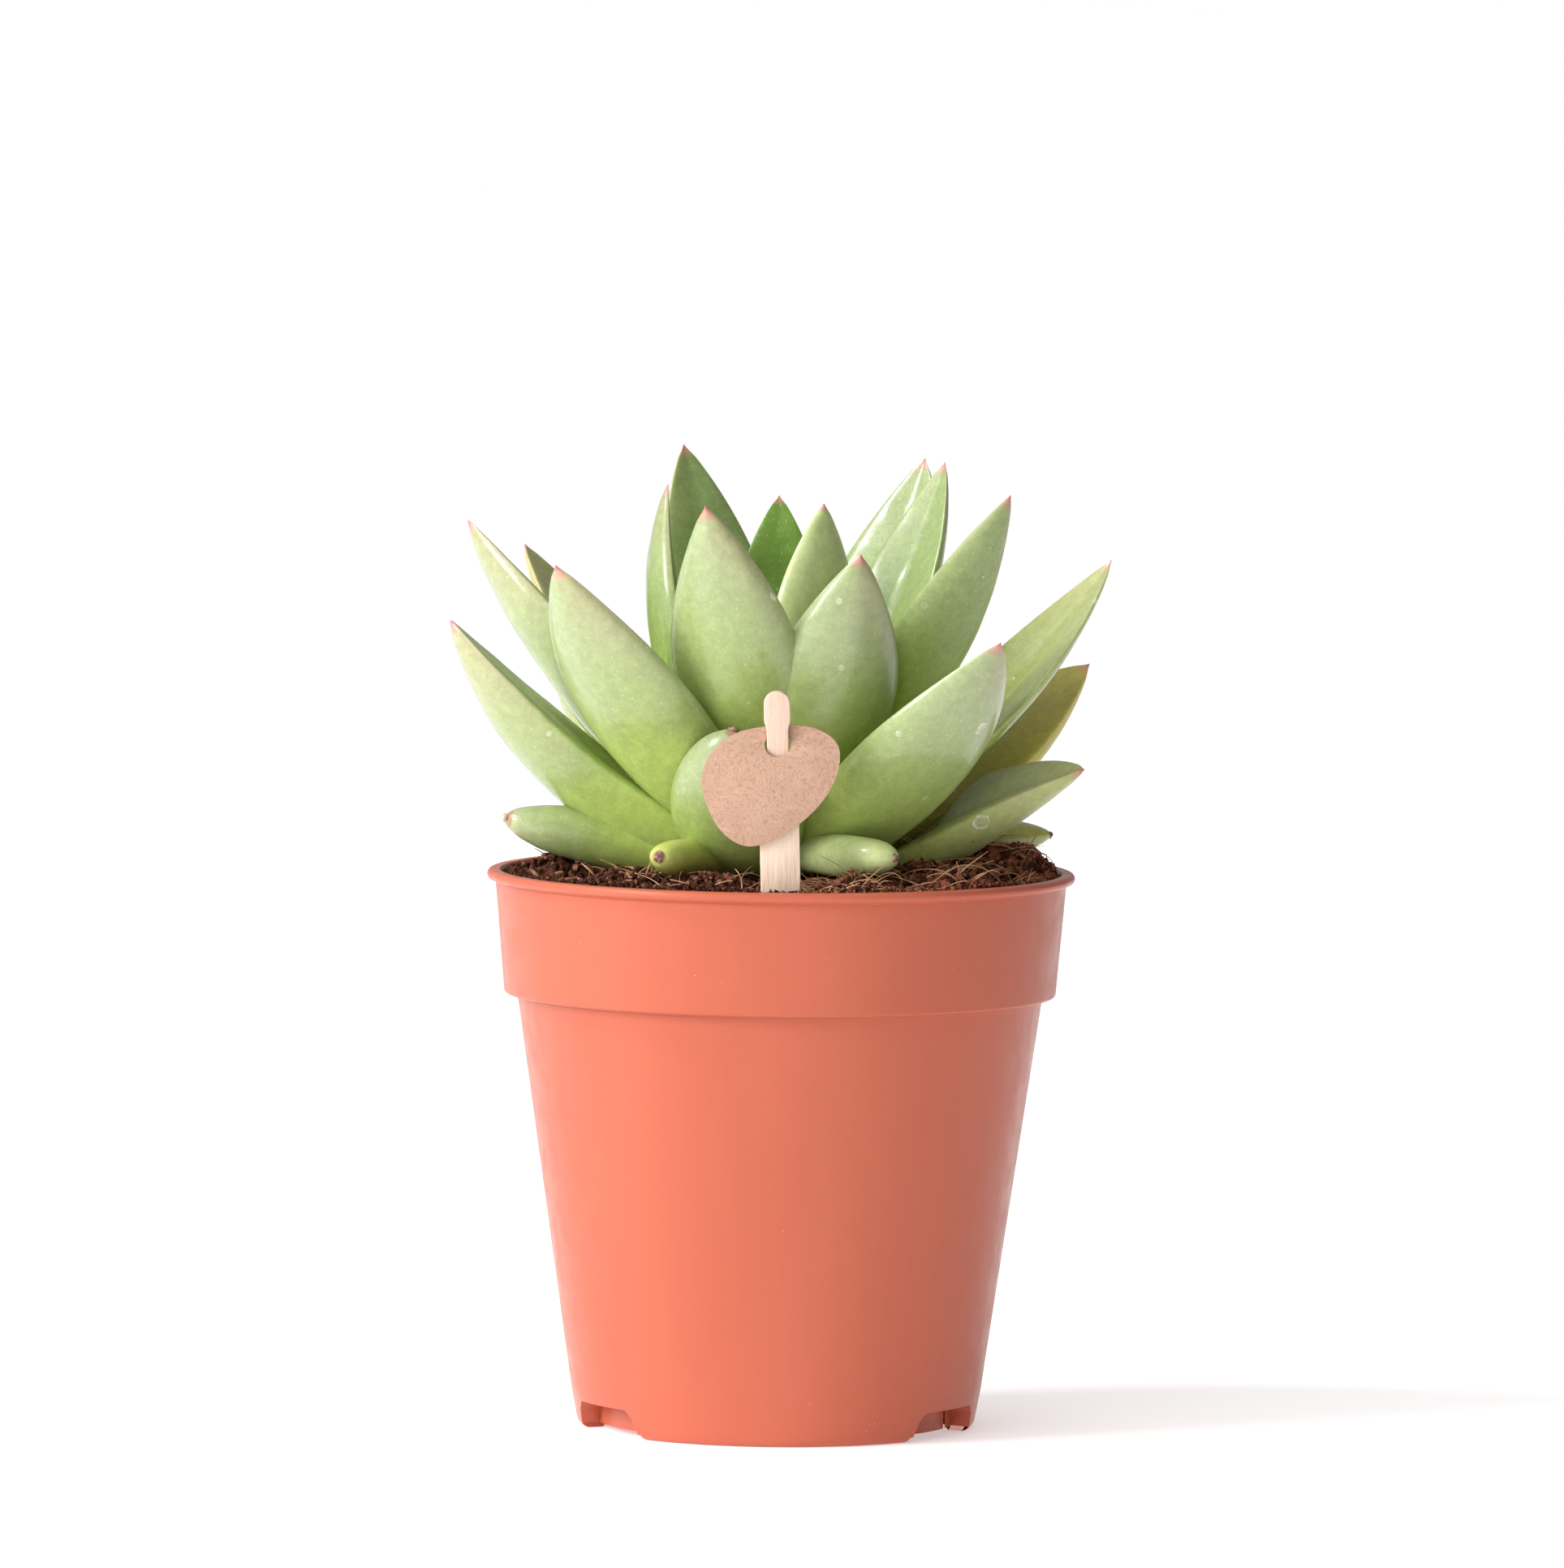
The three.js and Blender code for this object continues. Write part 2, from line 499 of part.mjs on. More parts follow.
function tagGeometry() {
  const points = TAG_OUTLINE.map(([x, z]) => new THREE.Vector3(x, z, 0));
  const curve = new THREE.CatmullRomCurve3(points, true, 'centripetal');
  const outline = curve.getPoints(TAG_OUTLINE_STEPS).slice(0, -1).map((p) => new THREE.Vector2(p.x, p.y));
  const shape = new THREE.Shape(outline);
  const hole = new THREE.Path();
  hole.absellipse(0, 0, TAG_HOLE_RADII[0], TAG_HOLE_RADII[1], 0, 2 * Math.PI, false, 0);
  shape.holes.push(hole);
  const blank = new THREE.ExtrudeGeometry(shape, { depth: 8, bevelEnabled: false, curveSegments: 8 });
  blank.rotateX(Math.PI / 2).translate(0, 4, 0);

  const reach = TAG_HOLE_RADII[1];
  const bend = Array.from({ length: TAG_BEND_STEPS + 1 }, (_, k) => reach * (2 * k / TAG_BEND_STEPS - 1));
  const heights = [-20, ...bend, 6];
  const half = TAG_THICKNESS / 2;
  const front = heights.map((height) => new THREE.Vector2(tagOffset(height) - half, height));
  const back = heights.map((height) => new THREE.Vector2(tagOffset(height) + half, height)).reverse();
  const profile = new THREE.Shape([...front, ...back]);
  const sheet = new THREE.ExtrudeGeometry(profile, { depth: 30, bevelEnabled: false });
  sheet.rotateX(Math.PI / 2).rotateZ(Math.PI / 2).translate(-15, 0, 0);
  return solidOf(blank).intersect(solidOf(sheet));
}

const potMaterial = new THREE.MeshStandardMaterial({ color: '#cf7a5f', roughness: 0.5, metalness: 0 });
const soilMaterial = new THREE.MeshStandardMaterial({ color: '#4b2f22', roughness: 0.95, metalness: 0 });
const leafMaterial = new THREE.MeshStandardMaterial({ color: '#a9bb78', roughness: 0.5, metalness: 0 });
const woodMaterial = new THREE.MeshStandardMaterial({ color: '#ecd2bb', roughness: 0.75, metalness: 0 });
const cardMaterial = new THREE.MeshStandardMaterial({ color: '#d9af92', roughness: 0.9, metalness: 0 });

const stickInPlace = placeLabel(new THREE.Mesh(stickGeometry(CLEARANCE)));
stickInPlace.updateMatrix();
const stickHole = solidOf(stickInPlace.geometry.applyMatrix4(stickInPlace.matrix));

const plant = new THREE.Group();
plant.add(
  meshOf('pot', potSolid(), potMaterial),
  meshOf('soil', soilSolid(rosetteSolid(CLEARANCE), stickHole), soilMaterial),
  meshOf('rosette', rosetteSolid(), leafMaterial),
);

const label = placeLabel(new THREE.Group());
const stick = meshOf('label_stick', solidOf(stickGeometry()), woodMaterial);
const tag = meshOf('label_tag', tagGeometry(), cardMaterial);
tag.position.z = TAG_HOLE_HEIGHT_ON_STICK;
label.add(stick, tag);
plant.add(label);

export default plant;
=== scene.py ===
"""The looks of a potted Miranda echeveria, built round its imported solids.

Shapes are written in millimetres and made in metres, +Z up. The origin is on the ground, on the axis of the
pot, and the label faces -Y.
"""

import math
import random

import bmesh
import bpy
import numpy as np
from mathutils import Matrix, Vector, noise


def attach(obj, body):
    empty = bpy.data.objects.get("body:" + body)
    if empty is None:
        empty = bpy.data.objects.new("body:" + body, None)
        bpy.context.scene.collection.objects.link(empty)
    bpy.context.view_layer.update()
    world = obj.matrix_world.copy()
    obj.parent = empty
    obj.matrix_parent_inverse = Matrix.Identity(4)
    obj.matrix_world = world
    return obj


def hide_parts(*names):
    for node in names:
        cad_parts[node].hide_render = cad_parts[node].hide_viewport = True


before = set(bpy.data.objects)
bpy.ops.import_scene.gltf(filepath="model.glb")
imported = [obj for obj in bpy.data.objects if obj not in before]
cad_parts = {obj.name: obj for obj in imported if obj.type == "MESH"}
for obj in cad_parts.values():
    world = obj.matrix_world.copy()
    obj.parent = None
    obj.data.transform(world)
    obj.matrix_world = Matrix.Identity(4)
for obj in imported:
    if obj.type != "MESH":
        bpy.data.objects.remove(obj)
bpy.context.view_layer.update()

MM = 0.001

# The camera stands far in front, a little above the plant, and looks slightly down.
CAMERA_AWAY = 2.05
CAMERA_HEIGHT = 0.244
CAMERA_PITCH = 4.1
CAMERA_ROLL = 0.58
FOCAL_PIXELS = 16812
IMAGE_HEIGHT = 1932
SENSOR = 36

# The light: a soft box on the left, a small one above it and a strip overhead behind, each with its place,
# size and power, a wide low fill from the left front that leaves no shine, and a sky whose strength is the
# sum of ramps, each with its axis, two places on it and the strengths there.
PANELS = (
    ("soft_box", (-0.86, -0.52, 0.5), (0.3, 0.4), 7.2),
    ("top_box", (-0.75, -0.12, 0.9), (0.17, 0.17), 5),
    ("strip", (-0.2, 0.5, 1.1), (0.6, 0.06), 0.4),
)
FILL_FROM = (-0.57, -0.79, 0.24)
FILL_STRENGTH = 1.85
FILL_SPREAD = 60
SKY = (
    ("Z", 0, 1, 0.34, 0.6),
    ("Y", 0.1, 0.9, 0, 0.14),
    ("X", -0.1, 0.8, 0, -0.34),
    ("X", -0.9, -0.2, 0.15, 0),
)

# The floor: how much it glows, and where its edges lie in metres
FLOOR_GLOW = 0.43
FLOOR_FRONT = -4
FLOOR_HALF_WIDTH = 30
FLOOR_BACK = 60

# The pot
POT_HEIGHT = 84
POT_WALL = 1
POT_SIDES = 240
LIP_RADIUS = 44.3
LIP_HEIGHT = 1.5
BAND_TOP_RADIUS = 43
BAND_FOOT_RADIUS = 41.6
BAND_FOOT_HEIGHT = 65.5
BODY_TOP_RADIUS = 39.5
BODY_FOOT_RADIUS = 30.1
FOOT_FILLET = 1.6
FOOT_RING_INNER_RADIUS = 25.8
FLOOR_UNDERSIDE = 0.8
FLOOR_TOP = FLOOR_UNDERSIDE + POT_WALL
CHANNEL_ANGLES = (90, 210, 330)
CHANNEL_HEIGHT = 4.4
CHANNEL_HALF_WIDTH_LOW = 9
CHANNEL_HALF_WIDTH_HIGH = 7.4
CHANNEL_BACK_RADIUS = 27
CHANNEL_CORNER = 1.2
CHANNEL_REACH = (20, 40)
SLOT_RADIUS = 28.3
SLOT_LENGTH = 8
SLOT_WIDTH = 1.6
FLOOR_HOLE_RADIUS = 2.6
FLOOR_HOLE_RING = 15

# The soil
SOIL_LEVEL = 82.8
SOIL_RADIUS = 41.5
SOIL_RINGS = 78
SOIL_SECTORS = 250
SOIL_MOUND_HEIGHT = 2
SOIL_MOUND_RADIUS = 20
SOIL_LUMPS = (
    (36.5, 4, 3.8, 3.8), (29, 0, 6.5, 5), (21, -7, 7, 3.9), (25, -23, 6, 2.6),
    (11, -33, 5, 2.6), (-10, -33, 6, 2.4), (-23, -26, 6, 2.8), (-34, -8, 4.5, 3.3),
    (-37, 4, 3, -1.5), (-8, 33, 8, 1.4), (22, 28, 7, -1.2),
)

# The hidden side of the soil from its edge down, as radius and height
SOIL_SIDE = ((41, 72), (40, 67), (37.5, 64), (31, 12), (25.6, 6), (25.6, 2.4))

# What lies on the soil: how many crumbs and flakes of bark, the rings that a flake is made of, each with its
# height and its share of the width, and the fibres in patches, each patch with its count, the least and the
# greatest x and y, and the lengths
SMALL_CRUMBS = 5600
WALL_CRUMBS = 2200
LARGE_CRUMBS = 240
BARK_FLAKES = 380
BARK_LEVELS = ((-0.22, 0.8), (-0.1, 1), (0.12, 1), (0.24, 0.82))
BARK_SIDES = 12
SPREAD_FIBRES = 280
FIBRE_PATCHES = (
    (190, (16, 39), (-30, 6), (4, 11)),
    (90, (-38, 14), (-38, -24), (3, 7)),
    (70, (4, 20), (-38, -30), (3, 8)),
)

# Where loose clods lie thickest: the middle of each heap, its spread and how many clods it has
CLOD_HEAPS = (
    (36.2, 3, 2.2, 3, 90), (29, -1, 4, 4, 170), (21, -8, 4, 5, 120),
    (-34, -8, 2.6, 4, 90), (-22, -28, 7, 3, 90), (0, -34, 12, 2.5, 110), (24, -24, 6, 4, 110),
)

# The plant
STEM_X = -1
STEM_RADIUS = 5
STEM_FOOT = 70
STEM_TOP = 103
CROWN_RADIUS = 7.2
CROWN_FOOT = 85
CROWN_TOP = 97
LEAF_ROOT_RADIUS = 2.5
LEAF_ROOT_SHARE = 0.74
LEAF_WIDEST_AT = 0.55
LEAF_SWELL_POWER = 1.2
LEAF_TIP_POWER = 0.84
LEAF_SPIKE_FROM = 0.93
LEAF_SPIKE_POWER = 1.2
LEAF_ROOT_THICKNESS_SHARE = 0.7
LEAF_THICKEST_AT = 0.45
LEAF_THINNING = (1.8, 0.8)
LEAF_BLUNTNESS = 6
LEAF_FACE_SHARE = 0.18
LEAF_FACE_POWER = 0.7
LEAF_BACK_POWER = 1.02
LEAF_KEEL = 0.04
LEAF_FOLD = 0.15
LEAF_ROLLED_AT = 0.5
LEAF_STATIONS = 60
LEAF_SIDES = 44
LEAF_TIP_CROWDING = 1.25
LEAF_MARGIN_CROWDING = 0.3

# Each leaf: the direction it grows in (degrees, 270 is the front), how far its tip reaches from the stem,
# the heights of its tip and root, its width, thickness and outward bow, its roll (degrees), how far it bends
# sideways, how deep its inner face is folded, how blunt it is, whether its section is an oval, how young
# and olive (warm) it looks, how much whitish bloom it is painted with (its own bloom, raised on some leaves
# as painted light and highlight), whether it is dull with wax, how much of the change of colour from root to
# tip it shows (toned), the size of the dried nub on its tip, and how bleached that nub is.
LEAVES = [
    dict(turn=89, reach=8, tip=140.2, root=97, width=13.5, thick=5, bow=0.5, fold=0.2, young=1),
    dict(turn=315, reach=9.7, tip=139.8, root=96, width=17, thick=5.5, bow=1.5, sway=-1, pale_and_lit=0.85),
    dict(turn=142, reach=13, tip=130, root=96, width=12, thick=5.5, bow=2, young=0.9),
    dict(turn=60, reach=18, tip=129, root=95, width=13, thick=6, bow=2, young=0.7),
    dict(turn=194, reach=17, tip=142.3, root=93, width=18, thick=6.5, bow=4, roll=-14, fold=0.3, young=0.3),
    dict(turn=5, reach=19, tip=123, root=94, width=14, thick=6, bow=2, young=0.5),
    dict(turn=227, reach=20, tip=127, root=94, width=15, thick=6, bow=2, young=0.5),
    dict(turn=120, reach=29, tip=147, root=92, width=18, thick=6.5, bow=2, sway=-1.3, young=0.3),
    dict(
        turn=40, reach=33, tip=144.8, root=92, width=15.5, thick=6.5, bow=0.8, roll=5, sway=-0.6,
        fold=0.45, young=0.2,
    ),
    dict(turn=255, reach=41.5, tip=141, root=90, width=20.3, thick=7.5, bow=4, sway=1.8),
    dict(turn=327.5, reach=41, tip=142.1, root=89, width=19.5, thick=8.5, bow=0.3, young=0.1, waxy=True),
    dict(turn=56, reach=40, tip=144.8, root=90, width=20, thick=7, bow=1.5, fold=0.25, young=0.2),
    dict(turn=289.5, reach=37, tip=133.8, root=90, width=21.4, thick=8, bow=4, sway=-0.9),
    dict(turn=174, reach=47, tip=136.2, root=88, width=19, thick=9.2, bow=0, roll=10),
    dict(turn=150, reach=44.5, tip=131.7, root=89, width=18, thick=7, bow=1, warm=0.4),
    dict(turn=230.5, reach=51.5, tip=132, root=88, width=22.8, thick=8, bow=2.5),
    dict(
        turn=11.3, reach=51.5, tip=130.8, root=84, width=20, thick=4.4, bow=1.6, roll=15.5, sway=-3,
        fold=0.64, warm=0.2,
    ),
    dict(turn=197, reach=51, tip=122.3, root=84, width=17.5, thick=10.6, bow=2.2, roll=-14),
    dict(turn=309.5, reach=52, tip=121.2, root=84.5, width=23.5, thick=8.5, bow=2),
    dict(
        turn=24.9, reach=52.5, tip=114.3, root=85.5, width=22, thick=9, bow=1.7, roll=23, sway=1.9,
        fold=0.05, warm=0.85, waxy=True,
    ),
    dict(turn=97, reach=42.5, tip=121, root=88, width=18, thick=7.5, bow=3),
    dict(turn=135, reach=48, tip=115, root=88, width=19, thick=7.5, bow=2),
    dict(turn=64, reach=42.5, tip=112, root=88, width=18, thick=7.5, bow=2),
    dict(
        turn=259.5, reach=34.5, tip=107.5, root=87, width=20, thick=8, bow=4.5, blunt=0.4, sway=-1.5,
        fold=0.1, toned=0.94, nub=0.9,
    ),
    dict(turn=77, reach=41.5, tip=103, root=87, width=17, thick=7.5, bow=2, warm=0.2),
    dict(turn=117, reach=42.5, tip=103, root=87, width=17, thick=7.5, bow=2, warm=0.2),
    dict(
        turn=346, reach=47.7, tip=100.6, root=74, width=25, thick=9.3, bow=-4.7, roll=14, sway=5.5,
        fold=0.3, warm=0.3, pale_and_lit=0.25, waxy=True,
    ),
    dict(
        turn=196.5, reach=42.2, tip=92.4, root=84.8, width=11, thick=9.2, bow=0.3, blunt=0.5, oval=True,
        toned=0.9, nub=1.25, bleached=1,
    ),
    dict(
        turn=243.2, reach=38.3, tip=88.5, root=86.3, width=5.8, thick=5.6, bow=0.3, blunt=1, sway=-1,
        oval=True, toned=0.4, warm=0.3, nub=0.85,
    ),
    dict(
        turn=299.3, reach=36.7, tip=88.5, root=87.6, width=7, thick=6.2, bow=0, blunt=1, sway=-3.5,
        oval=True, toned=0.6, pale_and_lit=1, nub=0.6,
    ),
    dict(
        turn=19.5, reach=44.5, tip=88.7, root=87, width=10, thick=8, bow=0, blunt=0.3, oval=True,
        toned=0.6, warm=0.45, nub=0.8,
    ),
    dict(
        turn=140, reach=38, tip=88.5, root=87, width=10, thick=7, bow=0, blunt=0.4, oval=True, toned=0.6,
        warm=0.4, nub=0.9,
    ),
    dict(
        turn=95, reach=38, tip=89, root=87, width=9, thick=7, bow=0, blunt=0.5, oval=True, toned=0.6,
        warm=0.4, nub=0.9,
    ),
]

# The label, measured along the stick from where it enters the soil
LABEL_FOOT = (0, -37.4, 83)
LABEL_LEAN_FORWARD = 6
LABEL_LEAN_LEFT = 1.7
STICK_THICKNESS = 1
STICK_WIDTH = 5.9
STICK_BURIED = 37
STICK_POINT = 5
STICK_SHOULDER = 20.2
STICK_TAPER = 1.4
STICK_NECK_WIDTH = 3.2
STICK_HEAD_START = 25
STICK_HEAD_WIDTH = 3.9
STICK_HEAD_SWELL = 1.6
STICK_TOP = 30.9
TAG_THICKNESS = 0.8
TAG_HOLE_HEIGHT_ON_STICK = 22.9
TAG_HOLE_RADII = (1.95, 1.7)
TAG_GAP = 0.2
TAG_OUTLINE = (
    (-11.3, -6), (-10.4, -1.8), (-6.5, 1.4), (0, 2.6), (5.6, 2.1), (8.9, -0.3),
    (8.6, -4.6), (5.4, -9.6), (-0.7, -14), (-5, -14.9), (-8.6, -12.6),
)


class Finish:
    """A material's nodes, in the few kinds that these finishes use."""

    def __init__(self, name):
        self.material = bpy.data.materials.new(name)
        self.material.use_nodes = True
        self.nodes = self.material.node_tree.nodes
        self.links = self.material.node_tree.links
        self.nodes.clear()
        self.shader = self.nodes.new("ShaderNodeBsdfPrincipled")
        output = self.nodes.new("ShaderNodeOutputMaterial")
        self.links.new(self.shader.outputs["BSDF"], output.inputs["Surface"])
        self.place = self.nodes.new("ShaderNodeTexCoord").outputs["Object"]

    def feed(self, socket, value):
        if isinstance(value, bpy.types.NodeSocket):
            self.links.new(value, socket)
        else:
            socket.default_value = value

    def surface(self, **values):
        """Sets the shader's own sockets, by their names in lower case with underscores."""
        for socket in self.shader.inputs:
            key = socket.name.lower().replace(" ", "_")
            if key in values:
                self.feed(socket, values[key])

    def stretched(self, scale):
        mapping = self.nodes.new("ShaderNodeMapping")
        self.links.new(self.place, mapping.inputs["Vector"])
        mapping.inputs["Scale"].default_value = scale
        return mapping.outputs["Vector"]

    def height(self):
        """The height above the ground in metres."""
        split = self.nodes.new("ShaderNodeSeparateXYZ")
        self.links.new(self.place, split.inputs["Vector"])
        return split.outputs["Z"]

    def radius(self):
        """The distance from the axis of the pot in metres."""
        flat = self.nodes.new("ShaderNodeVectorMath")
        flat.operation = "LENGTH"
        self.links.new(self.stretched((1, 1, 0)), flat.inputs[0])
        return flat.outputs["Value"]

    def noise(self, scale, detail=3, roughness=0.5, stretch=None):
        node = self.nodes.new("ShaderNodeTexNoise")
        self.links.new(self.stretched(stretch) if stretch else self.place, node.inputs["Vector"])
        node.inputs["Scale"].default_value = scale
        node.inputs["Detail"].default_value = detail
        node.inputs["Roughness"].default_value = roughness
        return node.outputs["Fac"]

    def cells(self, scale, randomness=1):
        """The distance to the nearest random point, and a random colour of that point."""
        node = self.nodes.new("ShaderNodeTexVoronoi")
        self.links.new(self.place, node.inputs["Vector"])
        node.inputs["Scale"].default_value = scale
        node.inputs["Randomness"].default_value = randomness
        return node.outputs["Distance"], node.outputs["Color"]

    def fade(self, value, low, high, start=0.0, end=1.0):
        """Runs smoothly from start to end as value goes from low to high."""
        node = self.nodes.new("ShaderNodeMapRange")
        node.interpolation_type = "SMOOTHSTEP"
        self.feed(node.inputs["Value"], value)
        for name, number in (("From Min", low), ("From Max", high), ("To Min", start), ("To Max", end)):
            node.inputs[name].default_value = number
        return node.outputs["Result"]

    def combine(self, operation, first, second):
        node = self.nodes.new("ShaderNodeMath")
        node.operation = operation
        self.feed(node.inputs[0], first)
        self.feed(node.inputs[1], second)
        return node.outputs["Value"]

    def plus(self, first, second):
        return self.combine("ADD", first, second)

    def minus(self, first, second):
        return self.combine("SUBTRACT", first, second)

    def times(self, first, second):
        return self.combine("MULTIPLY", first, second)

    def mix(self, share, first, second, blend="MIX"):
        node = self.nodes.new("ShaderNodeMix")
        node.data_type = "RGBA"
        node.blend_type = blend
        self.feed(node.inputs["Factor"], share)
        self.feed(node.inputs[6], first)
        self.feed(node.inputs[7], second)
        return node.outputs[2]

    def stored(self, name):
        """The three numbers stored on the mesh under a name."""
        attribute = self.nodes.new("ShaderNodeAttribute")
        attribute.attribute_name = name
        split = self.nodes.new("ShaderNodeSeparateXYZ")
        self.links.new(attribute.outputs["Vector"], split.inputs["Vector"])
        return split.outputs["X"], split.outputs["Y"], split.outputs["Z"]

    def bump(self, height, depth, over=None):
        """Raises the surface by depth (metres) where height is 1, on top of another bump."""
        node = self.nodes.new("ShaderNodeBump")
        node.inputs["Distance"].default_value = depth
        self.feed(node.inputs["Height"], height)
        if over:
            self.links.new(over, node.inputs["Normal"])
        return node.outputs["Normal"]


def colour(red, green, blue):
    return (red, green, blue, 1)


def plain_object(name, points, faces):
    """An object from points in millimetres."""
    mesh = bpy.data.meshes.new(name)
    mesh.from_pydata((np.asarray(points, float) * MM).tolist(), [], faces)
    mesh.validate()
    item = bpy.data.objects.new(name, mesh)
    bpy.context.scene.collection.objects.link(item)
    return item


def dress(piece, material, node):
    """Lets a piece stand for a CAD node, with its material, on the pot's body."""
    piece.data.materials.clear()
    piece.data.materials.append(material)
    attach(piece, "root")
    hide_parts(node)


def add_piece(name, points, faces, material, node, stored=None, smooth=True):
    """A dressed piece from points in millimetres, with three numbers a point stored under each name."""
    piece = plain_object(name, points, faces)
    for key, values in (stored or {}).items():
        attribute = piece.data.attributes.new(key, "FLOAT_VECTOR", "POINT")
        attribute.data.foreach_set("vector", np.asarray(values, np.float32).ravel())
    if smooth:
        piece.data.shade_smooth()
    dress(piece, material, node)
    return piece


def tube_faces(rings, sides, first=0):
    """Quads between rings of points, each ring closed on itself."""
    return [
        (first + i * sides + k, first + i * sides + (k + 1) % sides,
         first + (i + 1) * sides + (k + 1) % sides, first + (i + 1) * sides + k)
        for i in range(rings - 1) for k in range(sides)
    ]


def end_faces(sides, first, last):
    """The two faces that close a tube, from the first points of its end rings."""
    return [tuple(first + k for k in reversed(range(sides))), tuple(last + k for k in range(sides))]


def spindle_faces(rings, sides):
    """A tube from point 1 on, closed by a fan at point 0 and by another at the last point."""
    last = 1 + (rings - 1) * sides
    faces = tube_faces(rings, sides, 1)
    faces += [(0, 1 + (k + 1) % sides, 1 + k) for k in range(sides)]
    faces += [(last + sides, last + k, last + (k + 1) % sides) for k in range(sides)]
    return faces


def smoothstep(value, low, high):
    share = np.clip((value - low) / (high - low), 0, 1)
    return share * share * (3 - 2 * share)


def baked_mesh(piece):
    """Applies the modifiers of a piece to its mesh."""
    bpy.context.view_layer.update()
    graph = bpy.context.evaluated_depsgraph_get()
    mesh = bpy.data.meshes.new_from_object(piece.evaluated_get(graph))
    piece.modifiers.clear()
    piece.data = mesh


def carve(piece, others, operation="DIFFERENCE"):
    """Cuts other pieces out of a piece, or keeps what they share, and removes them."""
    for other in others:
        modifier = piece.modifiers.new("carve", "BOOLEAN")
        modifier.operation = operation
        modifier.solver = "EXACT"
        modifier.object = other
    baked_mesh(piece)
    for other in others:
        bpy.data.objects.remove(other)
    return piece


def soften(piece, width, segments=3, sharper_than=50):
    """Rounds the edges of a piece that turn by more than an angle in degrees."""
    bevel = piece.modifiers.new("soft_edges", "BEVEL")
    bevel.width = width * MM
    bevel.segments = segments
    bevel.angle_limit = math.radians(sharper_than)
    baked_mesh(piece)
    piece.data.shade_smooth()
    piece.data.set_sharp_from_angle(angle=math.radians(40))


def turned(name, profile, sides=POT_SIDES):
    """A solid of revolution from a profile that starts and ends on the axis."""
    angles = np.linspace(0, 2 * math.pi, sides, endpoint=False)
    rings = [
        np.stack([radius * np.cos(angles), radius * np.sin(angles), np.full(sides, height)], 1)
        for radius, height in profile[1:-1]
    ]
    points = [(0, 0, profile[0][1]), *np.concatenate(rings).tolist(), (0, 0, profile[-1][1])]
    return plain_object(name, points, spindle_faces(len(rings), sides))


def oblong(left, right, low, high):
    return [(left, low), (right, low), (right, high), (left, high)]


def drum(name, radius, low, high, sides=POT_SIDES):
    """A plain cylinder on the axis of the pot."""
    return turned(name, oblong(0, radius, low, high), sides)


def prism(name, outline, low, high, place=Matrix.Identity(4)):
    """An outline in the XZ plane, drawn out along Y from low to high, then moved by a matrix."""
    count = len(outline)
    points = [(x, low, z) for x, z in outline] + [(x, high, z) for x, z in outline]
    faces = tube_faces(2, count) + end_faces(count, 0, count)
    moved = [tuple(place @ Vector(point)) for point in points]
    item = plain_object(name, moved, faces)
    make_outward(item.data)
    return item


def make_outward(mesh):
    shape = bmesh.new()
    shape.from_mesh(mesh)
    bmesh.ops.recalc_face_normals(shape, faces=shape.faces)
    shape.to_mesh(mesh)
    shape.free()


def body_radius(height):
    return BODY_FOOT_RADIUS + (BODY_TOP_RADIUS - BODY_FOOT_RADIUS) * height / BAND_FOOT_HEIGHT


def arc(centre, radius, start, end, steps):
    """Points on a round stretch of a profile; angles in degrees."""
    angles = np.radians(np.linspace(start, end, steps))
    return [(centre[0] + radius * math.cos(a), centre[1] + radius * math.sin(a)) for a in angles]


def channel(name, angle, margin):
    """A drainage channel across the foot, grown on all sides by a margin."""
    low = CHANNEL_HALF_WIDTH_LOW + margin
    high = CHANNEL_HALF_WIDTH_HIGH + margin
    top = CHANNEL_HEIGHT + margin
    corner = CHANNEL_CORNER
    lean = (low - high) / CHANNEL_HEIGHT
    right = [(low, -1), (low - lean * (top - corner), top - corner)]
    right += arc((high - corner, top - corner), corner, 20, 90, 6)
    outline = [(-low, -1), *right, *[(-x, z) for x, z in reversed(right[2:])], (-right[1][0], right[1][1])]
    turn = Matrix.Rotation(math.radians(angle - 90), 4, "Z")
    whole = prism(name, outline, *CHANNEL_REACH, turn)
    return carve(whole, [drum("core", CHANNEL_BACK_RADIUS - margin, -3, 9)])


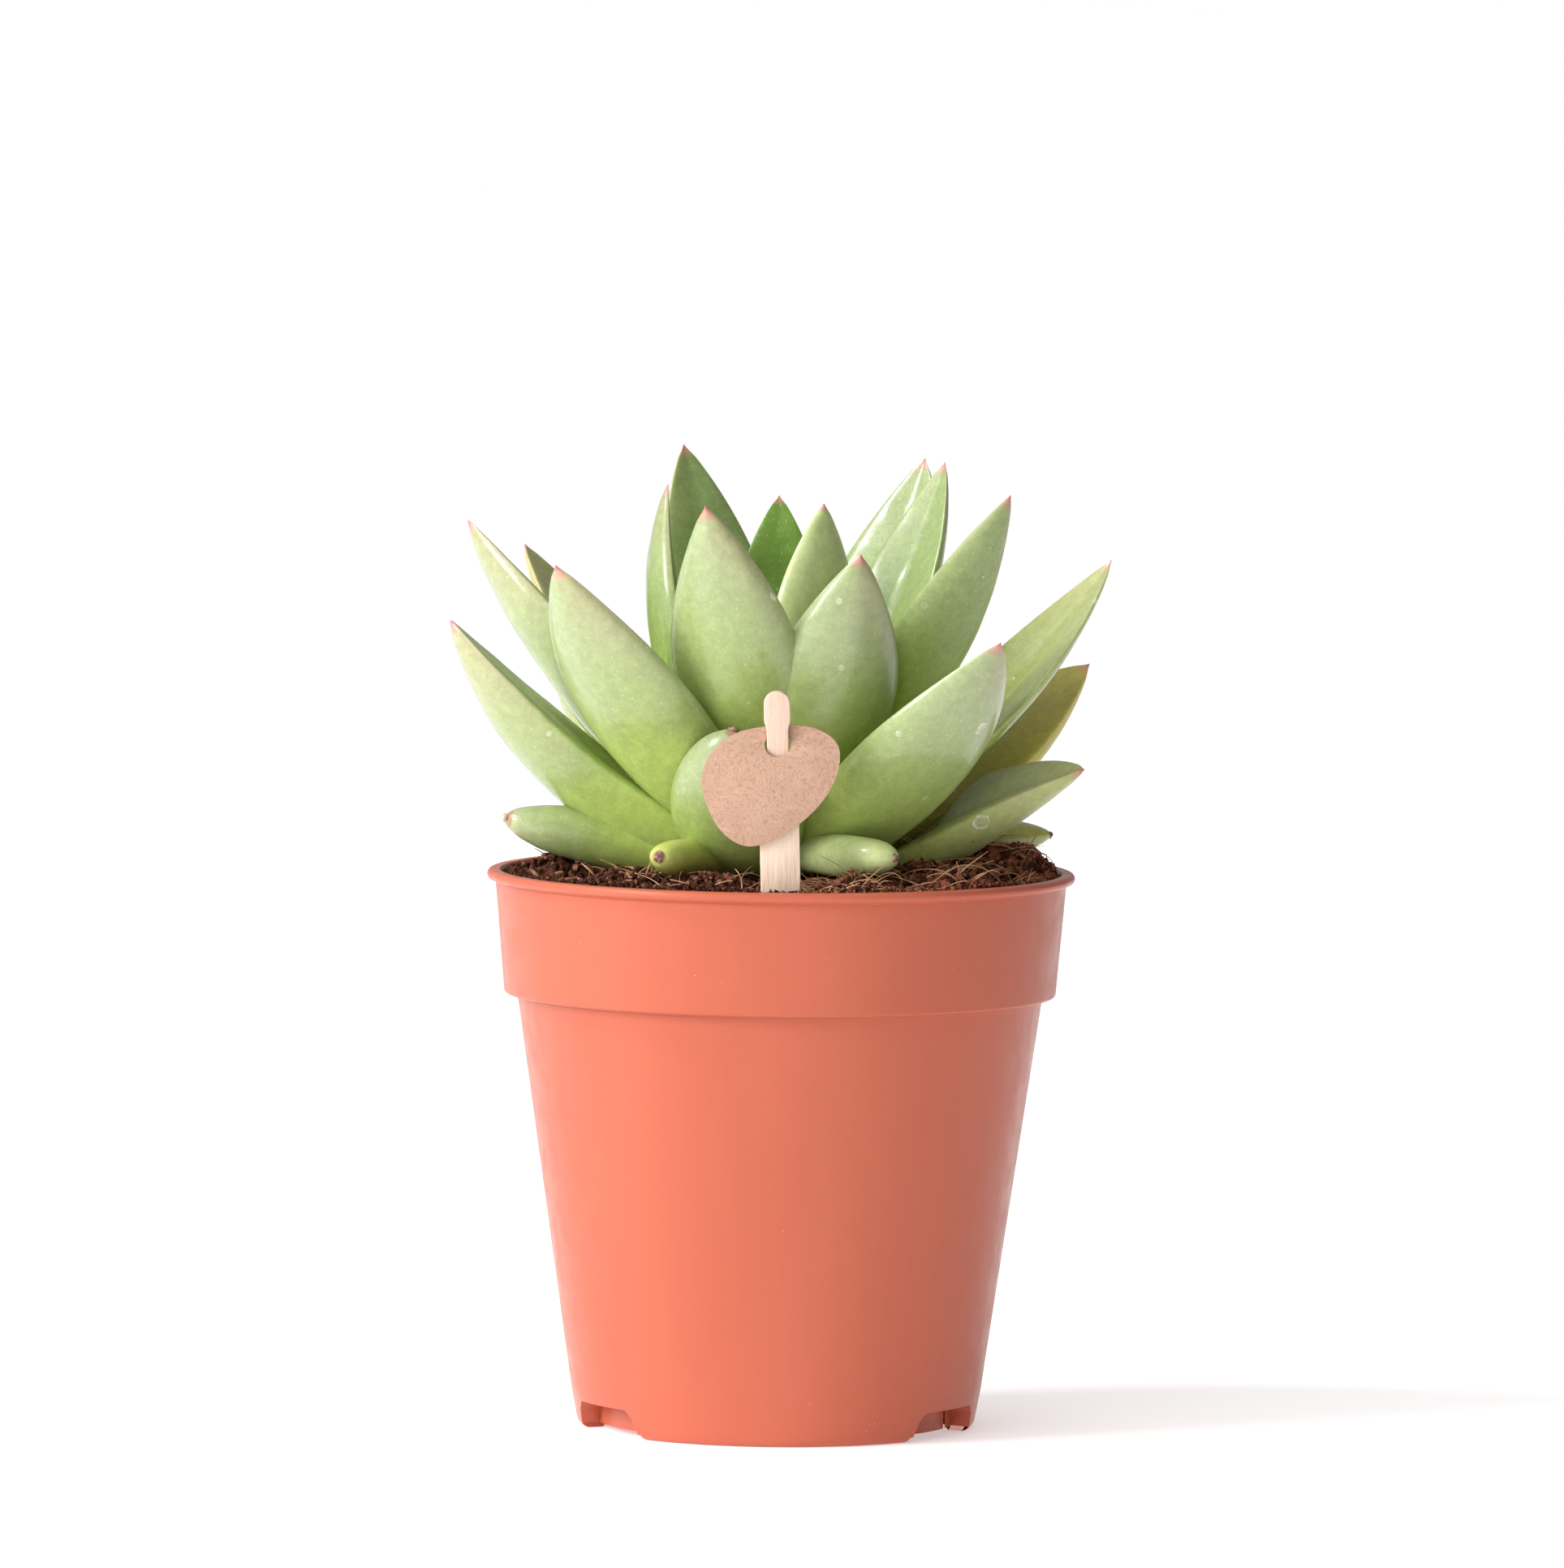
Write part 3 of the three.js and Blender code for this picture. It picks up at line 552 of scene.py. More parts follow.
def make_pot(material):
    half = LIP_HEIGHT / 2
    lip_middle = (LIP_RADIUS - half, POT_HEIGHT - half)
    foot_corner = (body_radius(0) - FOOT_FILLET, FOOT_FILLET)
    step_round = 0.5
    outside = [
        (0, FLOOR_UNDERSIDE),
        (FOOT_RING_INNER_RADIUS, FLOOR_UNDERSIDE),
        (FOOT_RING_INNER_RADIUS + 0.6, 0),
        *arc(foot_corner, FOOT_FILLET, -90, -8, 6),
        (body_radius(6), 6),
        (BODY_TOP_RADIUS - 0.05, BAND_FOOT_HEIGHT - 1.2),
        (BODY_TOP_RADIUS + 0.2, BAND_FOOT_HEIGHT - 0.45),
        (BAND_FOOT_RADIUS - step_round, BAND_FOOT_HEIGHT - 0.1),
        *arc((BAND_FOOT_RADIUS - step_round, BAND_FOOT_HEIGHT + step_round - 0.1), step_round, -60, 0, 5),
        (BAND_TOP_RADIUS, POT_HEIGHT - LIP_HEIGHT - 0.35),
        *arc(lip_middle, half, -70, 90, 11),
        (LIP_RADIUS - half - 0.6, POT_HEIGHT - 0.02),
        (0, POT_HEIGHT),
    ]
    ledge = BAND_FOOT_HEIGHT + POT_WALL
    inside = [
        (0, FLOOR_TOP),
        (body_radius(FLOOR_TOP) - POT_WALL - 0.8, FLOOR_TOP),
        (body_radius(FLOOR_TOP) - POT_WALL, FLOOR_TOP + 0.8),
        (BODY_TOP_RADIUS - POT_WALL, ledge - 0.5),
        (BAND_FOOT_RADIUS - POT_WALL, ledge),
        (BAND_TOP_RADIUS - POT_WALL, POT_HEIGHT - 0.6),
        (BAND_TOP_RADIUS - POT_WALL + 0.5, POT_HEIGHT + 0.05),
        (BAND_TOP_RADIUS - POT_WALL + 0.5, POT_HEIGHT + 4),
        (0, POT_HEIGHT + 4),
    ]
    pot = turned("pot_shell", outside)
    hollow = turned("hollow", inside)
    for angle in CHANNEL_ANGLES:
        carve(pot, [channel("cut", angle, 0)])
        carve(hollow, [channel("wall", angle, POT_WALL)])
    carve(pot, [hollow])
    for angle in CHANNEL_ANGLES:
        turn = Matrix.Rotation(math.radians(angle), 4, "Z")
        flat = CHANNEL_HALF_WIDTH_LOW
        under = prism("under", oblong(24, 29, -2, FLOOR_UNDERSIDE), -flat, flat, turn)
        cut = oblong(SLOT_RADIUS - SLOT_WIDTH / 2, SLOT_RADIUS + SLOT_WIDTH / 2, 3, 8)
        slot = prism("slot", cut, -SLOT_LENGTH / 2, SLOT_LENGTH / 2, turn)
        away = math.radians(angle + 60)
        hole = round_hole("hole", FLOOR_HOLE_RING * math.cos(away), FLOOR_HOLE_RING * math.sin(away))
        carve(pot, [under, slot, hole])
    carve(pot, [round_hole("hole", 0, 0)])
    soften(pot, 0.18, 2, 38)
    dress(pot, material, "pot")


def round_hole(name, x, y):
    item = drum(name, FLOOR_HOLE_RADIUS, -1, 3, 40)
    item.data.transform(Matrix.Translation((x * MM, y * MM, 0)))
    return item


def soil_height(x, y):
    """The same low mound and lumps that the solid soil has."""
    height = SOIL_LEVEL + SOIL_MOUND_HEIGHT * math.exp(-((math.hypot(x, y) / SOIL_MOUND_RADIUS) ** 2))
    for lump_x, lump_y, radius, rise in SOIL_LUMPS:
        height += rise * math.exp(-((math.hypot(x - lump_x, y - lump_y) / radius) ** 2))
    return height


def soil_surface(x, y):
    """The soil with its crumbly relief."""
    coarse = noise.fractal(Vector((x * 0.16, y * 0.16, 3)), 0.7, 2.1, 4)
    fine = noise.turbulence(Vector((x * 0.7, y * 0.7, 9)), 3, False)
    edge = max(0, math.hypot(x, y) - 40) * 0.25
    return soil_height(x, y) + 0.9 * coarse + 0.9 * (fine - 0.5) - edge


def make_soil(material):
    angles = np.linspace(0, 2 * math.pi, SOIL_SECTORS, endpoint=False)
    points = [(0, 0, soil_surface(0, 0))]
    for radius in SOIL_RADIUS * np.linspace(0.02, 1, SOIL_RINGS):
        for angle in angles:
            x, y = radius * math.cos(angle), radius * math.sin(angle)
            points.append((x, y, soil_surface(x, y)))
    for radius, height in SOIL_SIDE:
        points += [(radius * math.cos(angle), radius * math.sin(angle), height) for angle in angles]
    points.append((0, 0, SOIL_SIDE[-1][1]))
    faces = spindle_faces(SOIL_RINGS + len(SOIL_SIDE), SOIL_SECTORS)
    soil = add_piece("soil_bed", points, faces, material, "soil")
    make_outward(soil.data)


def blob(rng, fine):
    """A crumb: a ball of radius 1 whose points are pushed in and out at random."""
    shape = bmesh.new()
    bmesh.ops.create_icosphere(shape, subdivisions=2 if fine else 1, radius=1)
    points = np.array([v.co[:] for v in shape.verts])
    faces = [tuple(v.index for v in face.verts) for face in shape.faces]
    shape.free()
    lumps = np.array([rng.uniform(0.5, 1.35) for _ in points])
    squash = np.array([rng.uniform(0.7, 1.3), rng.uniform(0.7, 1.3), rng.uniform(0.55, 1)])
    return points * lumps[:, None] * squash, faces


def spin(rng):
    """A random rotation."""
    turns = [Matrix.Rotation(rng.uniform(0, 2 * math.pi), 3, axis) for axis in "XYZ"]
    return np.array(turns[0] @ turns[1] @ turns[2])


def on_ring(rng, inner_share, radius):
    """A random place on a ring, whose inner circle has inner_share of the area of the outer one."""
    reach = radius * math.sqrt(rng.uniform(inner_share, 1))
    angle = rng.uniform(0, 2 * math.pi)
    return reach * math.cos(angle), reach * math.sin(angle)


def make_crumbs(material):
    rng = random.Random(11)
    small = [blob(rng, False) for _ in range(14)]
    large = [blob(rng, True) for _ in range(8)]
    points, faces, stored = [], [], []
    count = 0

    def drop(shape, size, x, y, lift):
        nonlocal count
        corners, sides = shape
        # A random tone for each crumb, scaled darker on the left and lighter on the right: the random part
        # is the crumb's own colour, the left-to-right part is painted shade on the left and painted light on
        # the right.
        shade = rng.random() * (0.3 + float(smoothstep(x, -20, 20)))
        placed = corners @ spin(rng).T * size + np.array([x, y, soil_height(x, y) + lift])
        points.append(placed)
        faces.extend(tuple(count + k for k in side) for side in sides)
        stored.append(np.tile([shade, rng.random(), 0], (len(corners), 1)))
        count += len(corners)

    for _ in range(SMALL_CRUMBS):
        x, y = on_ring(rng, 0.03, 41)
        drop(rng.choice(small), 0.2 + 0.5 * rng.random() ** 2, x, y, rng.uniform(-0.3, 0.5))
    for _ in range(WALL_CRUMBS):
        x, y = on_ring(rng, 0.94, 41.3)
        drop(rng.choice(small), rng.uniform(0.25, 0.5), x, y, rng.uniform(-0.2, 1.1))
    for _ in range(LARGE_CRUMBS):
        x, y = on_ring(rng, 0.1, 39.8)
        drop(rng.choice(large), rng.uniform(0.45, 0.9), x, y, rng.uniform(-0.6, 0.3))
    for middle_x, middle_y, spread_x, spread_y, count_here in CLOD_HEAPS:
        for _ in range(count_here):
            x, y = rng.gauss(middle_x, spread_x), rng.gauss(middle_y, spread_y)
            if math.hypot(x, y) < 40.4:
                drop(rng.choice(large), rng.uniform(0.3, 0.8), x, y, rng.uniform(-0.6, 0.6))
    stored = {"crumb": np.concatenate(stored)}
    add_piece("soil_crumbs", np.concatenate(points), faces, material, "soil", stored)


def make_fibres(material):
    """Thin coir fibres that stand and lie in the soil."""
    rng = random.Random(5)
    steps, sides = 9, 4
    points, faces = [], []
    spots = [(*on_ring(rng, 0.15, 40), rng.uniform(2, 7)) for _ in range(SPREAD_FIBRES)]
    for count, *ranges in FIBRE_PATCHES:
        spots += [tuple(rng.uniform(*limits) for limits in ranges) for _ in range(count)]
    for x, y, length in spots:
        if math.hypot(x, y) > 39:
            continue
        heading = rng.uniform(0, 2 * math.pi)
        climb = rng.uniform(-0.1, 0.9)
        curl = rng.uniform(-0.2, 0.2)
        droop = rng.uniform(0.03, 0.2)
        thin = rng.uniform(0.06, 0.16)
        place = np.array([x, y, soil_height(x, y) - 0.2])
        first = len(points)
        for step in range(steps):
            flat = math.cos(climb)
            direction = np.array([math.cos(heading) * flat, math.sin(heading) * flat, math.sin(climb)])
            across = np.cross(direction, (0, 0, 1))
            across /= np.linalg.norm(across) + 1e-9
            above = np.cross(across, direction)
            radius = thin * (1 - 0.6 * step / (steps - 1))
            for side in range(sides):
                angle = 2 * math.pi * side / sides
                points.append(place + radius * (math.cos(angle) * across + math.sin(angle) * above))
            place = place + direction * length / (steps - 1)
            limit = 40.9 / max(40.9, math.hypot(place[0], place[1]))
            place[:2] *= limit
            heading += curl
            climb -= droop
        faces += tube_faces(steps, sides, first)
        faces += end_faces(sides, first, len(points) - sides)
    add_piece("soil_fibres", points, faces, material, "soil")


def make_bark(material):
    """Flat flakes of bark on the soil, the largest one beside the stick."""
    rng = random.Random(23)
    spots = [(5.2, -38.6, 83.4, 2.9, 1.3, 0.5)]
    for _ in range(BARK_FLAKES):
        x, y = on_ring(rng, 0.2, 39.5)
        size = (rng.uniform(0.4, 1.5), rng.uniform(0.2, 0.6))
        spots.append((x, y, soil_height(x, y) + 0.35, *size, rng.uniform(-0.6, 0.6)))
    points, faces = [], []
    for x, y, z, long, wide, tilt in spots:
        first = len(points)
        turn = np.array(Matrix.Rotation(rng.uniform(-0.5, 0.5) if long > 2 else rng.uniform(0, 6), 3, "Z")
                        @ Matrix.Rotation(tilt, 3, "Y") @ Matrix.Rotation(rng.uniform(-0.5, 0.5), 3, "X"))
        for level, shrink in BARK_LEVELS:
            for k in range(BARK_SIDES):
                angle = 2 * math.pi * k / BARK_SIDES
                reach = shrink * rng.uniform(0.82, 1.1)
                lift = level + rng.uniform(-0.05, 0.05)
                local = np.array([long * reach * math.cos(angle), wide * reach * math.sin(angle), lift])
                points.append(turn @ local + np.array([x, y, z]))
        faces += tube_faces(len(BARK_LEVELS), BARK_SIDES, first)
        faces += end_faces(BARK_SIDES, first, len(points) - BARK_SIDES)
    add_piece("soil_bark", points, faces, material, "soil", smooth=False)


def leaf_width_share(along, blunt):
    to_widest = np.clip(along / LEAF_WIDEST_AT, 0, 1)
    swell = LEAF_ROOT_SHARE + (1 - LEAF_ROOT_SHARE) * np.sin(to_widest * np.pi / 2) ** LEAF_SWELL_POWER
    to_tip = np.clip((along - LEAF_WIDEST_AT) / (1 - LEAF_WIDEST_AT), 0, 1)
    pointed = np.cos(to_tip * np.pi / 2) ** LEAF_TIP_POWER
    at_spike = math.cos(LEAF_SPIKE_FROM * math.pi / 2) ** LEAF_TIP_POWER
    spike = at_spike * np.clip((1 - to_tip) / (1 - LEAF_SPIKE_FROM), 0, 1) ** LEAF_SPIKE_POWER
    pointed = np.where(to_tip > LEAF_SPIKE_FROM, spike, pointed)
    rounded = np.sqrt(np.clip(1 - to_tip ** LEAF_BLUNTNESS, 0, 1))
    return np.where(along < LEAF_WIDEST_AT, swell, pointed * (1 - blunt) + rounded * blunt)


def leaf_thickness_share(along, blunt):
    to_thickest = np.clip(along / LEAF_THICKEST_AT, 0, 1)
    swell = LEAF_ROOT_THICKNESS_SHARE + (1 - LEAF_ROOT_THICKNESS_SHARE) * np.sin(to_thickest * np.pi / 2)
    to_tip = np.clip((along - LEAF_THICKEST_AT) / (1 - LEAF_THICKEST_AT), 0, 1)
    pointed = (1 - to_tip ** LEAF_THINNING[0]) ** LEAF_THINNING[1]
    rounded = np.sqrt(np.clip(1 - to_tip ** LEAF_BLUNTNESS, 0, 1))
    return np.where(along < LEAF_THICKEST_AT, swell, pointed * (1 - blunt) + rounded * blunt)


def leaf_frame(leaf, along):
    """Points along a leaf's spine, and the directions along it, across it and out of its inner face."""
    turn = math.radians(leaf["turn"])
    out = np.array([math.cos(turn), math.sin(turn), 0])
    across = np.array([-out[1], out[0], 0])
    up = np.array([0, 0, 1])
    start = np.array([LEAF_ROOT_RADIUS, leaf["root"]])
    end = np.array([leaf["reach"], leaf["tip"]])
    chord = end - start
    length = np.linalg.norm(chord)
    outward = np.array([chord[1], -chord[0]]) / length
    middle = (start + end) / 2 + 2 * leaf["bow"] * outward
    sway = leaf.get("sway", 0)
    share = along[:, None]
    flat = (1 - share) ** 2 * start + 2 * share * (1 - share) * middle + share ** 2 * end
    aside = across * sway * 4 * share * (1 - share)
    centre = flat[:, :1] * out + flat[:, 1:] * up + np.array([STEM_X, 0, 0]) + aside
    slope = (1 - share) * (middle - start) + share * (end - middle)
    slope /= np.linalg.norm(slope, axis=1, keepdims=True)
    course = slope[:, :1] * out + slope[:, 1:] * up + across * sway * 4 * (1 - 2 * share) / length
    course /= np.linalg.norm(course, axis=1, keepdims=True)
    face = slope[:, :1] * up - slope[:, 1:] * out
    lean = np.radians(leaf.get("roll", 0)) * np.minimum(1, along / LEAF_ROLLED_AT)[:, None]
    side = across * np.cos(lean) + face * np.sin(lean)
    side -= course * (side * course).sum(1, keepdims=True)
    side /= np.linalg.norm(side, axis=1, keepdims=True)
    return centre, course, side, np.cross(course, side)


def make_leaf(number, leaf, material):
    blunt = leaf.get("blunt", 0)
    along = 1 - (1 - np.linspace(0, 1, LEAF_STATIONS)) ** LEAF_TIP_CROWDING
    angle = np.linspace(0, 2 * math.pi, LEAF_SIDES, endpoint=False)
    angle -= LEAF_MARGIN_CROWDING * np.sin(2 * angle)
    centre, _, side, normal = leaf_frame(leaf, along)
    half = np.maximum(leaf["width"] / 2 * leaf_width_share(along, blunt), 0.02)
    thick = np.maximum(leaf["thick"] * leaf_thickness_share(along, blunt), 0.04)

    cosine, sine = np.cos(angle), np.sin(angle)
    rise = np.abs(sine)
    face = LEAF_FACE_SHARE * rise ** LEAF_FACE_POWER - leaf.get("fold", LEAF_FOLD) * (1 - np.abs(cosine))
    keel = LEAF_KEEL * np.exp(-(cosine / 0.2) ** 2)[None, :] * smoothstep(along, 0.3, 0.85)[:, None]
    back = -(1 - LEAF_FACE_SHARE) * rise[None, :] ** LEAF_BACK_POWER - keel
    section = np.where(sine > 0, face[None, :], back)
    if leaf.get("oval"):
        section = np.broadcast_to(0.5 * sine[None, :], section.shape)
    lift = thick[:, None] * section
    points = centre[:, None] + side[:, None] * (half[:, None] * cosine)[..., None]
    points = points + normal[:, None] * lift[..., None]

    tip_fade = smoothstep(1 - along, 0.0, 0.12)
    for i in range(LEAF_STATIONS):
        for k in range(LEAF_SIDES):
            x, y, z = points[i, k]
            wave = noise.noise(Vector((x * 0.11, y * 0.11, z * 0.11 + number)))
            ripple = noise.noise(Vector((x * 0.4, y * 0.4, z * 0.4 - number)))
            points[i, k] += normal[i] * (0.3 * wave + 0.06 * ripple) * tip_fade[i] * sine[k]

    nub = leaf.get("nub", 0.01)
    dry = 1 - smoothstep(np.linalg.norm(points - nub_centre(leaf), axis=2), 0.9 * nub, 1.6 * nub)
    pointed = 0 if leaf.get("oval") else 1
    toned = leaf.get("toned", 1)
    place = np.stack(np.broadcast_arrays(
        (along * toned)[:, None], (pointed * cosine)[None, :],
        (pointed * smoothstep(sine, -0.1, 0.3))[None, :]), -1)
    kind = np.stack([np.full_like(dry, leaf.get(key, 0)) for key in ("young", "warm", "pale_and_lit")], -1)
    state = np.stack([dry, np.zeros_like(dry), np.zeros_like(dry)], -1)
    stored = {"leaf_place": place, "leaf_kind": kind, "leaf_state": state}
    faces = tube_faces(LEAF_STATIONS, LEAF_SIDES)
    faces += end_faces(LEAF_SIDES, 0, (LEAF_STATIONS - 1) * LEAF_SIDES)
    name = f"leaf_{number:02d}"
    piece = add_piece(name, points.reshape(-1, 3), faces, material, "rosette", stored)
    make_outward(piece.data)


def nub_centre(leaf):
    """Where the dried end sits, just inside the tip."""
    centre, course, _, _ = (rows[-1] for rows in leaf_frame(leaf, np.array([0.5, 1.0])))
    return centre - course * 0.1 * leaf.get("nub", 0)


def make_nub(number, leaf, material):
    """The dried brown end of an old leaf."""
    _, course, side, normal = (rows[-1] for rows in leaf_frame(leaf, np.array([0.5, 1.0])))
    points, faces = blob(random.Random(40 + number), True)
    placed = (points * np.array([0.8, 0.75, 0.7]) * leaf["nub"]) @ np.stack([side, normal, course])
    stored = {"nub_state": np.tile([leaf.get("bleached", 0), 0, 0], (len(points), 1))}
    name = f"leaf_nub_{number:02d}"
    add_piece(name, placed + nub_centre(leaf), faces, material, "rosette", stored)


def make_stem(material):
    profile = [
        (0, STEM_FOOT), (STEM_RADIUS - 1, STEM_FOOT), (STEM_RADIUS, STEM_FOOT + 2),
        (STEM_RADIUS, CROWN_FOOT), (CROWN_RADIUS, CROWN_FOOT + 1.5), (CROWN_RADIUS, CROWN_TOP),
        (0, STEM_TOP),
    ]
    stem = turned("stem", profile, 32)
    stem.data.transform(Matrix.Translation((STEM_X * MM, 0, 0)))
    stem.data.shade_smooth()
    dress(stem, material, "rosette")


def label_place():
    forward = Matrix.Rotation(math.radians(LABEL_LEAN_FORWARD), 4, "X")
    left = Matrix.Rotation(math.radians(-LABEL_LEAN_LEFT), 4, "Y")
    return Matrix.Translation(Vector(LABEL_FOOT) * MM) @ forward @ left


def make_stick(material):
    half, neck, head = STICK_WIDTH / 2, STICK_NECK_WIDTH / 2, STICK_HEAD_WIDTH / 2
    bottom = -STICK_BURIED
    swell = [
        (neck + (head - neck) * float(smoothstep(share, 0, 1)), STICK_HEAD_START + STICK_HEAD_SWELL * share)
        for share in (0, 0.25, 0.5, 0.75, 1)
    ]
    right = [
        (1, bottom), (half, bottom + STICK_POINT), (half, STICK_SHOULDER - STICK_TAPER),
        (neck, STICK_SHOULDER), *swell,
    ]
    top = arc((0, STICK_TOP - head), head, 0, 180, 25)
    outline = right + top + [(-x, z) for x, z in reversed(right)]
    stick = prism("label_stick_wood", outline, -STICK_THICKNESS / 2, STICK_THICKNESS / 2)
    soften(stick, 0.16)
    stick.data.transform(label_place())
    dress(stick, material, "label_stick")


def closed_curve(points, steps):
    """A smooth closed curve through points, centripetal Catmull-Rom."""
    corners = [np.array(point, float) for point in points]
    count = len(corners)
    curve = []
    for k in range(count):
        p0, p1, p2, p3 = (corners[(k + d) % count] for d in (-1, 0, 1, 2))
        t0 = 0
        t1 = t0 + np.linalg.norm(p1 - p0) ** 0.5
        t2 = t1 + np.linalg.norm(p2 - p1) ** 0.5
        t3 = t2 + np.linalg.norm(p3 - p2) ** 0.5
        for t in np.linspace(t1, t2, steps, endpoint=False):
            a1 = (t1 - t) / (t1 - t0) * p0 + (t - t0) / (t1 - t0) * p1
            a2 = (t2 - t) / (t2 - t1) * p1 + (t - t1) / (t2 - t1) * p2
            a3 = (t3 - t) / (t3 - t2) * p2 + (t - t2) / (t3 - t2) * p3
            b1 = (t2 - t) / (t2 - t0) * a1 + (t - t0) / (t2 - t0) * a2
            b2 = (t3 - t) / (t3 - t1) * a2 + (t - t1) / (t3 - t1) * a3
            curve.append(tuple((t2 - t) / (t2 - t1) * b1 + (t - t1) / (t2 - t1) * b2))
    return curve


def tag_offset(height):
    away = STICK_THICKNESS / 2 + TAG_GAP + TAG_THICKNESS / 2
    reach = TAG_HOLE_RADII[1]
    return away * (2 * float(smoothstep(np.array(height), -reach, reach)) - 1)


def make_tag(material):
    blank = prism("label_tag_card", closed_curve(TAG_OUTLINE, 14), -4, 4)
    angles = np.linspace(0, 2 * math.pi, 48, endpoint=False)
    wide, reach = TAG_HOLE_RADII
    hole = prism("hole", [(wide * math.cos(a), reach * math.sin(a)) for a in angles], -5, 5)
    carve(blank, [hole])
    heights = [-20, *np.linspace(-reach, reach, 25), 6]
    half = TAG_THICKNESS / 2
    front = [(tag_offset(z) - half, z) for z in heights]
    back = [(tag_offset(z) + half, z) for z in reversed(heights)]
    quarter = Matrix.Rotation(math.radians(90), 4, "Z")
    sheet = prism("sheet", front + back, -16, 16, quarter)
    carve(blank, [sheet], "INTERSECT")
    soften(blank, 0.12)
    blank.data.transform(label_place() @ Matrix.Translation((0, 0, TAG_HOLE_HEIGHT_ON_STICK * MM)))
    dress(blank, material, "label_tag")


def water_marks(finish, scale, size, chance, filled):
    """Dried drops on random spots: irregular rings, a little paler inside."""
    distance, tint = finish.cells(scale)
    split = finish.nodes.new("ShaderNodeSeparateColor")
    finish.links.new(tint, split.inputs["Color"])
    wobble = finish.plus(distance, finish.times(finish.noise(900, 2), 0.5 * size))
    reach = 1.25 * size
    inside = finish.fade(wobble, reach * 0.97, reach, 1, 0)
    middle = finish.fade(wobble, reach * 0.78, reach * 0.95, 1, 0)
    ring = finish.minus(inside, finish.times(middle, 1 - filled))
    patchy = finish.fade(finish.noise(1300, 2), 0.35, 0.6, 0.25, 1)
    return finish.times(finish.times(ring, patchy), finish.fade(split.outputs["Red"], chance, chance + 0.02))


def leaf_finish(name, specular, coat):
    finish = Finish(name)
    along, aside, inner = finish.stored("leaf_place")
    young, olive, pale_and_lit = finish.stored("leaf_kind")
    dry, _, _ = finish.stored("leaf_state")
    edge = finish.times(aside, aside)
    drift = finish.noise(55, 3)
    patches = finish.noise(140, 3)
    far = finish.plus(along, finish.times(drift, 0.3))
    # Lighter yellow-green towards the root: the leaf's own colour there, made brighter as painted light for
    # the light that passes through and between the leaves to their bases.
    paint = finish.mix(finish.fade(far, 0.45, 0.85), colour(0.48, 0.60, 0.15), colour(0.29, 0.385, 0.095))
    paint = finish.mix(finish.fade(far, 0.6, 1.05), paint, colour(0.325, 0.385, 0.18))
    tan = finish.plus(far, finish.times(aside, 0.22))
    tan = finish.plus(tan, finish.times(patches, 0.2))
    paint = finish.mix(finish.fade(tan, 1.0, 1.5, 0, 0.7), paint, colour(0.41, 0.36, 0.19))
    paint = finish.mix(finish.times(inner, 0.35), paint, colour(0.23, 0.33, 0.08))
    paint = finish.mix(finish.times(young, 0.85), paint, colour(0.12, 0.25, 0.01))
    paint = finish.mix(finish.times(olive, 0.85), paint, colour(0.56, 0.445, 0.085))
    # The whitish bloom: partly the leaf's own bloom, partly painted light and highlight on leaves that get
    # too little light.
    paint = finish.mix(finish.times(pale_and_lit, 0.9), paint, colour(0.58, 0.66, 0.30))
    mottle = finish.fade(finish.noise(700, 5, 0.7), 0.3, 0.75, 0.88, 1.12)
    paint = finish.mix(1.0, paint, mottle, "MULTIPLY")
    specks = finish.fade(finish.noise(2300, 2, 0.6), 0.62, 0.72, 0, 0.35)
    paint = finish.mix(specks, paint, colour(0.66, 0.70, 0.45))
    rim = finish.times(finish.fade(edge, 0.975, 0.999), finish.fade(along, 0.65, 0.97, 0.0, 0.35))
    paint = finish.mix(rim, paint, colour(0.60, 0.44, 0.34))
    paint = finish.mix(finish.fade(along, 0.96, 0.988, 0, 0.65), paint, colour(0.60, 0.20, 0.215))
    paint = finish.mix(finish.fade(along, 0.985, 0.998, 0, 0.85), paint, colour(0.47, 0.08, 0.125))

    large = water_marks(finish, 95, 0.15, 0.74, 0.25)
    small = water_marks(finish, 230, 0.12, 0.8, 0.6)
    paint = finish.mix(finish.times(large, 0.75), paint, colour(0.78, 0.83, 0.66))
    paint = finish.mix(finish.times(small, 0.6), paint, colour(0.74, 0.79, 0.60))
    paint = finish.mix(finish.fade(dry, 0.1, 0.7), paint, colour(0.33, 0.21, 0.11))

    grain = finish.bump(finish.noise(3200, 2, 0.6), 0.00004)
    skin = finish.bump(finish.noise(300, 3), 0.00007, grain)
    finish.surface(
        base_color=paint,
        roughness=finish.fade(finish.noise(500, 3), 0.3, 0.7, 0.33, 0.43),
        subsurface_weight=0.15,
        subsurface_radius=(0.6, 1.0, 0.25),
        subsurface_scale=0.002,
        specular_ior_level=specular,
        coat_weight=coat,
        coat_roughness=0.12,
        normal=skin,
    )
    return finish.material


def nub_finish():
    finish = Finish("dried_leaf")
    tone = finish.noise(1500, 4, 0.6)
    bleached, _, _ = finish.stored("nub_state")
    paint = finish.mix(finish.fade(tone, 0.35, 0.7), colour(0.15, 0.07, 0.055), colour(0.46, 0.29, 0.22))
    paint = finish.mix(finish.times(bleached, 0.8), paint, colour(0.68, 0.55, 0.42))
    finish.surface(
        base_color=paint,
        roughness=0.75,
        normal=finish.bump(tone, 0.0003),
    )
    return finish.material


def stem_finish():
    finish = Finish("stem")
    tone = finish.noise(500, 4)
    paint = finish.mix(finish.fade(tone, 0.35, 0.7), colour(0.16, 0.17, 0.05), colour(0.27, 0.24, 0.10))
    finish.surface(
        base_color=paint,
        roughness=0.6,
        normal=finish.bump(tone, 0.0004),
    )
    return finish.material


